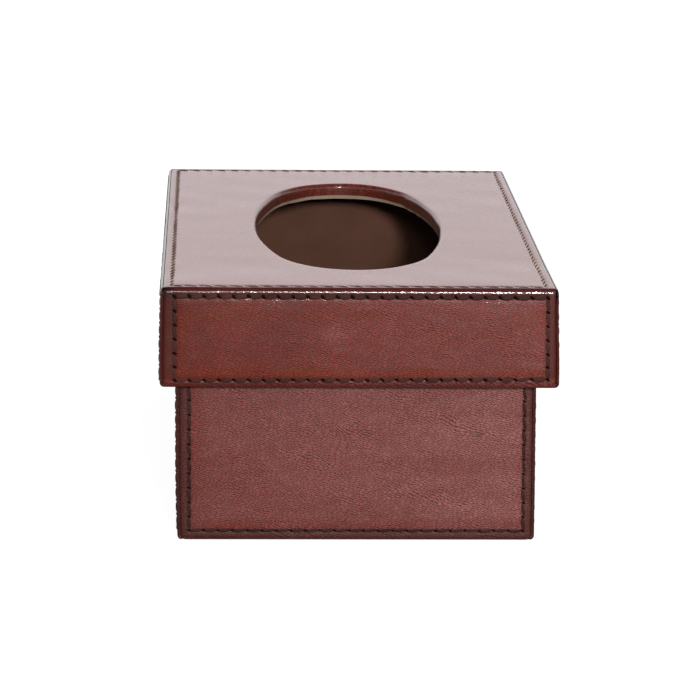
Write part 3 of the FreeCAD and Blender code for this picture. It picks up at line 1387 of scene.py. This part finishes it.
@dataclass(frozen=True)
class Oval:
    """An oval of tangent arcs, centred on the lid: side, shoulder and end in each quarter.

    Attributes:
        half_x: Half its size across.
        half_y: Half its size along.
        shoulder: Radius of the shoulder.
        start: Direction of the normal where the shoulder starts.
        stop: Direction of the normal where it stops.
    """

    half_x: float
    half_y: float
    shoulder: float
    start: float
    stop: float

    def arcs(self) -> tuple[tuple[float, float, float], ...]:
        """Work out the three arcs of one quarter.

        Returns:
            Centre x, centre y and radius of the side, the shoulder and the end.
        """
        start_x, start_y = math.cos(self.start), math.sin(self.start)
        stop_x, stop_y = math.cos(self.stop), math.sin(self.stop)
        across = self.half_x - self.shoulder * (start_x - stop_x)
        along = self.half_y - self.shoulder * (stop_y - start_y)
        scale = (1 - start_x) * (1 - stop_y) - stop_x * start_y
        side = (across * (1 - stop_y) - along * stop_x) / scale
        end = (along * (1 - start_x) - across * start_y) / scale
        reach = side - self.shoulder
        return ((self.half_x - side, 0.0, side),
                (self.half_x - side + reach * start_x, reach * start_y, self.shoulder),
                (0.0, self.half_y - end, end))

    def at(self, angle: np.ndarray) -> tuple[np.ndarray, np.ndarray, np.ndarray, np.ndarray]:
        """Give points and outward normals for directions of the normal.

        Args:
            angle: Direction of the outward normal at each point, in radians.

        Returns:
            x, y, and the normal's x and y.
        """
        nx, ny = np.cos(angle), np.sin(angle)
        turned = np.arctan2(np.abs(ny), np.abs(nx))
        which = (turned > self.start).astype(int) + (turned > self.stop)
        centre_x, centre_y, radius = np.array(self.arcs())[which].T
        return np.sign(nx) * centre_x + radius * nx, np.sign(ny) * centre_y + radius * ny, nx, ny


@dataclass
class TopPanel:
    """The lid's top leather: stitched round its edge and rolled down through the oval.

    Attributes:
        node: The solid that the leather replaces.
        body: The body that carries it.
        half_x: Half its size across.
        half_y: Half its size along.
        top: World height of its face.
        skirt: World height of its lowest edge, in the oval.
        oval: The opening.
        stitch_inset: Distance of the stitch rows from its edge.
        seed: Seed of its unevenness.
        lip: Radius of the rolled lip.
        thickness: Thickness of the leather.
        cells: Cells of the grid from one hole to the next.
        field_rings: Rings of faces from the border to the lip.
        lip_rings: Rings round the lip.
        skirt_rings: Rings down from the lip.
        stitching: The stitch rows, laid out from the sizes.
    """

    node: str
    body: str
    half_x: float
    half_y: float
    top: float
    skirt: float
    oval: Oval
    stitch_inset: float
    seed: int
    lip: float = 1.6 * MM
    thickness: float = 1.2 * MM
    cells: int = 6
    field_rings: int = 10
    lip_rings: int = 8
    skirt_rings: int = 3
    stitching: Stitching = field(init=False)

    def __post_init__(self) -> None:
        """Lay out the stitches from the panel's sizes."""
        x, y = self.half_x - self.stitch_inset, self.half_y - self.stitch_inset
        self.stitching = Stitching(-x, x, -y, y, self.seed, width=0.62 * MM, rise=0.20 * MM,
                                   slant=math.radians(-23), lit_and_shaded_plies=True)

    def border(self) -> bpy.types.Object:
        """Model the stitched border as nested rectangles, cut along their sides.

        Returns:
            A frame of faces, open in the middle.
        """
        bpy.ops.mesh.primitive_plane_add(size=2.0)
        piece = bpy.context.object
        with editing(piece, "FACE"):
            bpy.ops.mesh.select_all(action="SELECT")
            bpy.ops.transform.resize(value=(self.half_x, self.half_y, 1.0))
            done = 0.0
            for inset in self.border_insets():
                bpy.ops.mesh.inset(thickness=inset - done, use_even_offset=True)
                done = inset
            bpy.ops.mesh.delete(type="ONLY_FACE")
        rows = self.stitching.rows()
        for axis, count in ((0, rows[0].count * self.cells), (1, rows[1].count * self.cells)):
            for factor in two_factors(count):
                with editing(piece):
                    select_edges(piece, lambda a, b: abs((a - b)[1 - axis]) < 1e-7
                                 and abs((a - b)[axis]) > 1e-7
                                 and abs(abs(a[1 - axis]) - self.half(1 - axis)) < 9.1 * MM)
                    bpy.ops.mesh.subdivide(number_cuts=factor - 1)
        return piece

    def half(self, axis: int) -> float:
        """Give the panel's half size along an axis."""
        return (self.half_x, self.half_y)[axis]

    def border_insets(self) -> list[float]:
        """Give the rectangles' distances in from the panel's edge, with one on the stitch rows."""
        row = self.stitch_inset
        return [0.25 * MM, row * 0.35, row * 0.68, row, row + 0.9 * MM, row + 1.8 * MM, row + 3.2 * MM,
                row + 5.5 * MM]

    def extrude_rings(self, piece: bpy.types.Object) -> list[np.ndarray]:
        """Extrude the border's inner loop, ring after ring, to the oval and down through it.

        Args:
            piece: The border, which grows.

        Returns:
            For each ring, the indices of its points, in step with the first ring's.
        """
        inset = self.border_insets()[-1]
        hx, hy = self.half_x - inset, self.half_y - inset
        with editing(piece):
            select_edges(piece, lambda a, b: all(
                abs(p.z) < 1e-6 and abs(p.x) < hx + 1e-6 and abs(p.y) < hy + 1e-6 for p in (a, b)))
            for _ in range(self.ring_count()):
                bpy.ops.mesh.extrude_region_move(TRANSFORM_OT_translate={"value": (0, 0, -1.0)})
        points = points_of(piece)
        start = np.where((np.abs(points[:, 0]) < hx + 1e-6) & (np.abs(points[:, 1]) < hy + 1e-6)
                         & (points[:, 2] > -0.5))[0]
        order = np.argsort(np.arctan2(points[start, 1] / hy, points[start, 0] / hx))
        start = start[order]
        rings = [start]
        key = {(round(points[i, 0], 6), round(points[i, 1], 6)): n for n, i in enumerate(start)}
        for ring in range(1, self.ring_count() + 1):
            level = np.where(np.abs(points[:, 2] + ring) < 0.5)[0]
            placed = np.empty(len(start), int)
            for i in level:
                placed[key[(round(points[i, 0], 6), round(points[i, 1], 6))]] = i
            rings.append(placed)
        return rings

    def ring_count(self) -> int:
        """Give how many rings are extruded: the field, the lip and the skirt."""
        return self.field_rings + self.lip_rings + self.skirt_rings

    def build(self, palette: Palette) -> list[bpy.types.Object]:
        """Model the leather and its stitches, and set both in place.

        Args:
            palette: The materials.

        Returns:
            The leather and the thread.
        """
        piece = self.border()
        rings = self.extrude_rings(piece)
        points = points_of(piece)
        path = self.roll_lip(points, rings)
        self.shape(piece, points, path)
        piece.name = self.node + "_hide"
        apply_modifier(piece, "SOLIDIFY", thickness=self.thickness, offset=-1.0, use_even_offset=True)
        smooth(piece, 50.0)
        piece.data.materials.append(palette.leather_top)
        piece.data.materials.append(palette.leather_lid)
        for face in piece.data.polygons:
            face.material_index = int(face.center.z < -0.35 * MM
                                      and abs(face.center.x) < self.oval.half_x + 1.6 * MM)
        self.raise_front(piece)
        place(piece, Matrix.Translation((0, 0, self.top)))
        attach(piece, self.body)
        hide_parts(self.node)
        thread = self.stitching.build(self.node.replace("leather", "stitches"), palette)
        self.raise_front(thread)
        place(thread, Matrix.Translation((0, 0, self.top)))
        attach(thread, self.body)
        return [piece, thread]

    def roll_lip(self, points: np.ndarray, rings: list[np.ndarray]) -> np.ndarray:
        """Lay the rings out over the field, round the lip and down through the oval.

        Args:
            points: The sheet's points, which this changes.
            rings: The indices of each ring's points.

        Returns:
            How far each point lies down the lip from the field.
        """
        start = points[rings[0]]
        inset = self.border_insets()[-1]
        spread = np.arctan2(start[:, 1] / (self.half_y - inset), start[:, 0] / (self.half_x - inset))
        angle = normal_directions(self.oval, spread)
        x, y, nx, ny = self.oval.at(angle)
        path = np.zeros(len(points))
        crinkle = ripples(np.cos(angle) * 40 * MM, np.sin(angle) * 40 * MM, self.seed + 5, 7 * MM)
        for ring, index in enumerate(rings[1:], 1):
            if ring <= self.field_rings:
                share = 1 - (1 - ring / self.field_rings) ** 1.35
                points[index, 0] = start[:, 0] * (1 - share) + (x + self.lip * nx) * share
                points[index, 1] = start[:, 1] * (1 - share) + (y + self.lip * ny) * share
                points[index, 2] = 0.0
                continue
            step = ring - self.field_rings
            if step <= self.lip_rings:
                bend = math.radians(90) * step / self.lip_rings
                grow = self.lip * (1 - math.sin(bend))
                depth = self.lip * (1 - math.cos(bend))
                run = self.lip * bend
            else:
                share = (step - self.lip_rings) / self.skirt_rings
                grow = 0.0
                depth = self.lip + (self.top - self.skirt - self.lip) * share
                run = self.lip * math.pi / 2 + depth - self.lip
            soft = 0.16 * MM * crinkle * ease(np.array(step / self.lip_rings))
            points[index, 0] = x + (grow + soft) * nx
            points[index, 1] = y + (grow + soft) * ny
            points[index, 2] = -depth
            path[index] = run
        return path

    def raise_front(self, piece: bpy.types.Object) -> None:
        """Raise the front of the leather or the thread to the crown of the top."""
        points = points_of(piece)
        points[:, 2] += crowned(points[:, 1] + self.half_y)
        set_points(piece, points)

    def shape(self, piece: bpy.types.Object, points: np.ndarray, path: np.ndarray) -> None:
        """Press the stitch rows in, pillow the field and map the hide.

        Args:
            piece: The open sheet.
            points: Its points as laid out so far.
            path: How far each point of the lip lies down from the field.
        """
        u, v = points[:, 0].copy(), points[:, 1].copy()
        row, hole = self.stitching.nearness(u, v)
        flat = path < 1e-9
        inside = self.stitching.inside(u, v)
        rise = 0.12 * MM * ease(inside / (5 * MM)) + 0.06 * MM * bump(row - 1.7 * MM, 0.9 * MM)
        rise += 0.06 * MM * ripples(u, v, self.seed, 40 * MM)
        sink = 0.10 * MM * bump(row, 0.75 * MM) + 0.22 * MM * bump(hole, 0.8 * MM)
        outline = np.minimum(self.half_x - np.abs(u), self.half_y - np.abs(v))
        edge_drop = 0.22 * MM * bump(outline, 0.25 * MM)
        points[:, 2] += np.where(flat, rise - sink - edge_drop, rise * ease(1 - path / (2 * MM))) - 0.1 * MM
        set_points(piece, points)
        offset = self.seed * 0.37
        set_hide_map(piece, u + offset, v + offset * 0.61 + path)
        margin = ease(1 - inside / (1.2 * MM)) * 0.45 * flat
        cut = ease(1 - outline / (1.2 * MM)) * 0.45
        # The lip darkens as it rolls down into the oval: painted shade of the opening.
        rolled = 0.50 * ease((path - 0.3 * MM) / (1.2 * MM))
        set_field(piece, "rub", 0.7 * ease((path - 0.5 * MM) / (1.5 * MM)))
        set_field(piece, "worn", 0.35 * ease((path - 0.4 * MM) / (1.0 * MM)))
        set_field(piece, "edge", np.clip(margin + cut + rolled, 0, 1))
        set_field(piece, "bloom", np.full(len(u), 0.45))
        # Painted shade in the awl holes.
        set_field(piece, "pit", bump(hole, 0.62 * MM) * flat)


@dataclass
class TopLining:
    """The suede under the lid's top board, with its pale edge showing in the oval.

    Attributes:
        node: The solid that the lining replaces.
        body: The body that carries it.
        half_x: Half its size across.
        half_y: Half its size along.
        low: World height of its lower face.
        high: World height of its upper face.
        oval: The opening.
        seed: Seed of its unevenness.
        reveal: How far its edge stands out into the oval.
        tuck: How much less it does so at the oval's sides.
        cells: Cells along its edges.
    """

    node: str
    body: str
    half_x: float
    half_y: float
    low: float
    high: float
    oval: Oval
    seed: int
    reveal: float = 0.3 * MM
    tuck: float = 0.8 * MM
    cells: tuple[int, int] = (60, 100)

    def build(self, palette: Palette) -> list[bpy.types.Object]:
        """Model the sheet round the oval, and set it in place.

        Args:
            palette: The materials.

        Returns:
            The lining.
        """
        bpy.ops.mesh.primitive_plane_add(size=2.0)
        piece = bpy.context.object
        piece.name = self.node + "_suede"
        with editing(piece, "FACE"):
            bpy.ops.mesh.select_all(action="SELECT")
            bpy.ops.transform.resize(value=(self.half_x, self.half_y, 1.0))
            bpy.ops.mesh.delete(type="ONLY_FACE")
        for axis, count in enumerate(self.cells):
            with editing(piece):
                select_edges(piece, lambda a, b: abs((a - b)[1 - axis]) < 1e-7)
                bpy.ops.mesh.subdivide(number_cuts=count - 1)
        with editing(piece):
            bpy.ops.mesh.select_all(action="SELECT")
            for _ in range(2):
                bpy.ops.mesh.extrude_region_move(TRANSFORM_OT_translate={"value": (0, 0, -1.0)})
        points = points_of(piece)
        spread = np.arctan2(points[:, 1] / self.half_y, points[:, 0] / self.half_x)
        x, y, nx, ny = self.oval.at(normal_directions(self.oval, spread))
        wander = 0.12 * MM * ripples(x, y, self.seed, 9 * MM) - self.reveal + self.tuck * nx ** 2
        for step, grow in ((1, 3 * MM), (2, 0.0)):
            here = np.abs(points[:, 2] + step) < 0.5
            points[here, 0] = (x + (grow + wander) * nx)[here]
            points[here, 1] = (y + (grow + wander) * ny)[here]
        points[:, 2] = self.high
        set_points(piece, points)
        face_out(piece)
        piece.data.materials.append(palette.suede)
        piece.data.materials.append(palette.cut_edge)
        apply_modifier(piece, "SOLIDIFY", thickness=self.high - self.low, offset=-1.0, material_offset_rim=1)
        points = points_of(piece)
        lower = points[:, 2] < (self.high + self.low) / 2
        points[:, 2] += lower * 0.10 * MM * ripples(points[:, 0], points[:, 1], self.seed + 1, 12 * MM)
        set_points(piece, points)
        smooth(piece, 50.0)
        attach(piece, self.body)
        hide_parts(self.node)
        return [piece]


def normal_directions(oval: Oval, spread: np.ndarray) -> np.ndarray:
    """Find the oval's normal that faces each direction from the middle.

    Args:
        oval: The oval.
        spread: Directions from the middle, with the rectangle round the oval made square.

    Returns:
        The direction of the oval's normal for each of them.
    """
    dense = np.linspace(-math.pi, math.pi, 7201)
    x, y, _, _ = oval.at(dense)
    around = np.unwrap(np.arctan2(y / oval.half_y, x / oval.half_x))
    return np.interp(spread, around, dense)


def face_out(piece: bpy.types.Object) -> None:
    """Turn an open sheet's faces so that their normals point up."""
    with editing(piece, "FACE"):
        bpy.ops.mesh.select_all(action="SELECT")
        bpy.ops.mesh.normals_make_consistent(inside=False)
    if sum(face.normal.z * face.area for face in piece.data.polygons) < 0:
        with editing(piece, "FACE"):
            bpy.ops.mesh.select_all(action="SELECT")
            bpy.ops.mesh.flip_normals()


def two_factors(number: int) -> tuple[int, int]:
    """Split a count of cells into two factors that one subdivide can cut."""
    for small in range(1, number):
        if number % small == 0 and number // small <= 100:
            return small, number // small
    return 1, number


# ---------------------------------------------------------------- sub-assemblies

@dataclass
class Lid:
    """The lift-off lid: top, skirt, linings and boards."""

    palette: Palette
    oval: Oval = Oval(half_x=36.0 * MM, half_y=88.5 * MM, shoulder=45.0 * MM,
                      start=math.radians(16), stop=math.radians(46))
    top_stitch: float = 2.85 * MM

    def build(self) -> None:
        """Model the leathers and the top's lining, and dress the other linings and the boards."""
        low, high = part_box("lid_top_leather")
        skirt_low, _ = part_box("lid_front_leather")
        left_low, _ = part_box("lid_left_leather")
        report(TopPanel("lid_top_leather", "lid", high.x, high.y, high.z, low.z, self.oval,
                        self.top_stitch, seed=11).build(self.palette))
        lining_low, lining_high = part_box("lid_top_lining")
        report(TopLining("lid_top_lining", "lid", lining_high.x, lining_high.y, lining_low.z, lining_high.z,
                         self.oval, seed=16).build(self.palette))
        walls = {Facing.FRONT: 12, Facing.BACK: 13, Facing.LEFT: 14, Facing.RIGHT: 15}
        for facing, seed in walls.items():
            width, reach = (2 * -left_low.y, -left_low.x) if facing.long_side else (
                2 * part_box("lid_front_leather")[1].x, -skirt_low.y)
            panel = self.wall(facing, seed, width, reach, skirt_low.z, high.z)
            report(panel.build(self.palette, self.palette.leather_lid))
        dress_rest("lid", self.palette)

    def wall(self, facing: Facing, seed: int, width: float, reach: float, low: float,
             high: float) -> WallPanel:
        """Lay out one leather of the skirt.

        Args:
            facing: The way it faces.
            seed: Seed of its unevenness.
            width: Its size along the wall.
            reach: Distance of its face from the box's middle.
            low: World height of its lower edge.
            high: World height of its upper edge.

        Returns:
            The panel.
        """
        panel = WallPanel(
            f"lid_{facing.name.lower()}_leather", "lid", facing,
            width=width, height=high - low, base_level=low, reach=reach,
            stitch_side=(4.3 if facing.long_side else 4.1) * MM, stitch_low=2.4 * MM, stitch_high=2.8 * MM,
            low_turn=6.0 * MM, low_round=1.7 * MM, high_turn=0.0, high_round=1.9 * MM,
            corner_round=(0.9 if facing.long_side else 0.35) * MM, seed=seed, bloom=(0.3, 0.3),
            lean=0.3 * MM, band=1.4, right_low=0.6 * MM, low_dark=0.45)
        if facing is Facing.FRONT:
            # Paler towards the right: a painted sheen.
            panel.bloom = (0.02, 0.85)
            panel.row_rise = (0.4 * MM, 1.2 * MM)
            panel.column_shift = 1.2 * MM
            # Painted shade towards the upper left.
            panel.shade = 0.35
            panel.marks = (Mark(5 * MM, 13 * MM, 1.1 * MM, 0.5), Mark(-8.5 * MM, 20 * MM, 4 * MM, -0.5))
        return panel


@dataclass
class Base:
    """The open base: wall leathers, linings, boards and the sheet underneath."""

    palette: Palette

    def build(self) -> None:
        """Model the leathers and dress the linings, the boards and the sheet."""
        low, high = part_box("base_front_leather")
        left_low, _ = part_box("base_left_leather")
        walls = {Facing.FRONT: 22, Facing.BACK: 23, Facing.LEFT: 24, Facing.RIGHT: 25}
        for facing, seed in walls.items():
            width, reach = (2 * -left_low.y, -left_low.x) if facing.long_side else (2 * high.x, -low.y)
            panel = self.wall(facing, seed, width, reach, low.z, high.z)
            report(panel.build(self.palette, self.palette.leather_base))
        dress_rest("base", self.palette)

    def wall(self, facing: Facing, seed: int, width: float, reach: float, low: float,
             high: float) -> WallPanel:
        """Lay out one leather of the base.

        Args:
            facing: The way it faces.
            seed: Seed of its unevenness.
            width: Its size along the wall.
            reach: Distance of its face from the box's middle.
            low: World height of its lower edge.
            high: World height of its upper edge.

        Returns:
            The panel.
        """
        panel = WallPanel(
            f"base_{facing.name.lower()}_leather", "base", facing,
            width=width, height=high - low, base_level=low, reach=reach,
            stitch_side=(3.9 if facing.long_side else 2.9) * MM, stitch_low=3.4 * MM, stitch_high=3.6 * MM,
            low_turn=12.0 * MM, low_round=1.5 * MM, high_turn=6.0 * MM, high_round=1.0 * MM,
            corner_round=(1.1 if facing.long_side else 0.35) * MM, seed=seed, bloom=(0.4, 0.4),
            right_high=-0.9 * MM, slim=True, row_rise=(0.35 * MM, 0.35 * MM), bulge=0.6 * MM, low_dark=1.2)
        if facing is Facing.FRONT:
            # Paler towards the right: a painted sheen.
            panel.bloom = (0.12, 1.0)
            panel.marks = (Mark(44.6 * MM, 40.2 * MM, 1.5 * MM, 0.7),)
        return panel


def dress_rest(body: str, palette: Palette) -> None:
    """Give the body's boards, linings and bottom sheet their materials.

    Args:
        body: The body's name, with which its nodes' names start.
        palette: The materials.
    """
    finishes = {"board": palette.board, "lining": palette.suede, "sheet": palette.underside}
    for name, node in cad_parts.items():
        kind = name.rsplit("_", 1)[-1]
        if name.startswith(body) and kind in finishes:
            for slot in node.material_slots:
                slot.material = finishes[kind]


def report(pieces: list[bpy.types.Object]) -> None:
    """Log what has been modelled."""
    for piece in pieces:
        LOG.info("%s: %d faces", piece.name, len(piece.data.polygons))


# ---------------------------------------------------------------- studio

@dataclass
class Studio:
    """White sweep, soft boxes and the camera.

    Attributes:
        eye: The camera's place.
        heading: Its turn about the vertical.
        tilt: How far it looks down.
        roll: Its turn about its own line of sight.
        focal_pixels: Its focal length, in pixels of a frame of frame_pixels.
        frame_pixels: Width of the frame.
        drop: How far the floor lies below the box, so that their faces never coincide.
        clear: Half sizes of the part of the floor that the box covers.
    """

    eye: tuple[float, float, float] = (-0.0530, -1.3387, 0.3534)
    heading: float = math.radians(-2.34)
    tilt: float = math.radians(12.955)
    roll: float = math.radians(0.73)
    focal_pixels: float = 3461.0
    frame_pixels: float = 700.0
    drop: float = 0.1 * MM
    clear: tuple[float, float] = (61.5 * MM, 116.0 * MM)

    def build(self) -> None:
        """Set up floor, world, lamps and camera."""
        self.floor()
        self.world()
        self.lamp("key", (0.19, -1.86, 0.65), (0.0, 0.0, 0.06), (0.15, 0.22), 27.0)
        self.lamp("edge", (-0.02, -1.86, 0.65), (0.0, 0.0, 0.06), (0.20, 0.10), 3.0)
        self.camera()

    def floor(self) -> None:
        """Lay a wide white floor that keeps the box's shadow."""
        bpy.ops.mesh.primitive_plane_add(size=12.0)
        floor = bpy.context.object
        floor.name = "studio_floor"
        place(floor, Matrix.Translation((0, 0, -self.drop)))
        material = bpy.data.materials.new("white sweep")
        material.use_nodes = True
        tree = material.node_tree
        tree.nodes.clear()
        where = add_node(tree, "ShaderNodeTexCoord").outputs["Object"]
        axes = add_node(tree, "ShaderNodeSeparateXYZ")
        feed(tree, where, axes.inputs[0])
        reach = add_node(tree, "ShaderNodeVectorMath", operation="LENGTH")
        feed(tree, where, reach.inputs[0])
        rays = add_node(tree, "ShaderNodeLightPath").outputs
        diffuse = add_node(tree, "ShaderNodeBsdfDiffuse")
        feed(tree, mix_colours(tree, rays["Is Glossy Ray"], (0.40, 0.40, 0.40), (0.16, 0.16, 0.16)),
             diffuse.inputs["Color"])
        direct = calculate(tree, "MULTIPLY", rays["Is Camera Ray"],
                           ramp(tree, reach.outputs["Value"], 0.14, 0.45, 0.90, 1.0))
        mirrored = calculate(tree, "MULTIPLY", rays["Is Glossy Ray"],
                             ramp(tree, axes.outputs["Y"], 0.0, 0.20, 0.05, 0.54))
        glow = add_node(tree, "ShaderNodeEmission")
        feed(tree, calculate(tree, "MAXIMUM", direct, mirrored), glow.inputs["Strength"])
        sweep = add_node(tree, "ShaderNodeAddShader")
        feed(tree, diffuse.outputs[0], sweep.inputs[0])
        feed(tree, glow.outputs[0], sweep.inputs[1])
        covered = calculate(tree, "MULTIPLY", *(
            calculate(tree, "LESS_THAN", calculate(tree, "ABSOLUTE", axes.outputs[axis]), half)
            for axis, half in zip("XY", self.clear)))
        back = add_node(tree, "ShaderNodeNewGeometry").outputs["Backfacing"]
        clear = add_node(tree, "ShaderNodeBsdfTransparent").outputs[0]
        seen = mix_shaders(tree, calculate(tree, "MAXIMUM", covered, back), sweep.outputs[0], clear)
        feed(tree, seen, add_node(tree, "ShaderNodeOutputMaterial").inputs["Surface"])
        floor.data.materials.append(material)

    def world(self) -> None:
        """Light the room softly, white all round and dimmer overhead in reflections."""
        world = bpy.data.worlds.new("studio")
        bpy.context.scene.world = world
        world.use_nodes = True
        tree = world.node_tree
        tree.nodes.clear()
        height = add_node(tree, "ShaderNodeSeparateXYZ")
        feed(tree, add_node(tree, "ShaderNodeTexCoord").outputs["Generated"], height.inputs[0])
        level = ramp(tree, height.outputs["Z"], 0.28, 0.60, 0.955, 0.06)
        rays = add_node(tree, "ShaderNodeLightPath").outputs
        soft, mirrored, white = (self.backdrop(tree, strength) for strength in (0.36, level, 1.0))
        seen = mix_shaders(tree, rays["Is Glossy Ray"], soft, mirrored)
        seen = mix_shaders(tree, rays["Is Camera Ray"], seen, white)
        feed(tree, seen, add_node(tree, "ShaderNodeOutputWorld").inputs["Surface"])

    def backdrop(self, tree: Tree, strength: object) -> Socket:
        """Add a white background.

        Args:
            tree: The world's node tree.
            strength: Its strength, as a number or a socket.

        Returns:
            The background's socket.
        """
        node = add_node(tree, "ShaderNodeBackground")
        feed(tree, (1.0, 1.0, 1.0), node.inputs["Color"])
        feed(tree, strength, node.inputs["Strength"])
        return node.outputs[0]

    def lamp(self, name: str, eye: tuple[float, float, float], target: tuple[float, float, float],
             size: tuple[float, float], watts: float) -> None:
        """Hang a soft box that looks at a point.

        Args:
            name: The lamp's name.
            eye: Its place.
            target: The point it looks at.
            size: Width and height of its face.
            watts: Its power.
        """
        light = bpy.data.lights.new(name, "AREA")
        light.shape = "RECTANGLE"
        light.size, light.size_y = size
        light.energy = watts
        lamp = bpy.data.objects.new(name, light)
        bpy.context.scene.collection.objects.link(lamp)
        way = Vector(target) - Vector(eye)
        lamp.matrix_world = Matrix.Translation(eye) @ way.to_track_quat("-Z", "Y").to_matrix().to_4x4()

    def camera(self) -> None:
        """Set the camera before the short end, a little above the box."""
        lens = bpy.data.cameras.new("camera")
        lens.sensor_width = 36.0
        lens.sensor_height = 36.0
        lens.sensor_fit = "HORIZONTAL"
        lens.lens = self.focal_pixels / self.frame_pixels * lens.sensor_width
        lens.clip_start = 0.05
        camera = bpy.data.objects.new("camera", lens)
        bpy.context.scene.collection.objects.link(camera)
        camera.matrix_world = (
            Matrix.Translation(self.eye) @ Matrix.Rotation(self.heading, 4, "Z")
            @ Matrix.Rotation(math.pi / 2 - self.tilt, 4, "X") @ Matrix.Rotation(self.roll, 4, "Z"))
        bpy.context.scene.camera = camera


def main() -> None:
    """Build the box's looks and the studio round it."""
    logging.basicConfig(level=logging.INFO, format="%(name)s: %(message)s")
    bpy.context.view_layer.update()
    bpy.context.scene.view_settings.view_transform = "Standard"
    palette = Palette.mix()
    Lid(palette).build()
    Base(palette).build()
    Studio().build()


if __name__ == "__main__":
    main()
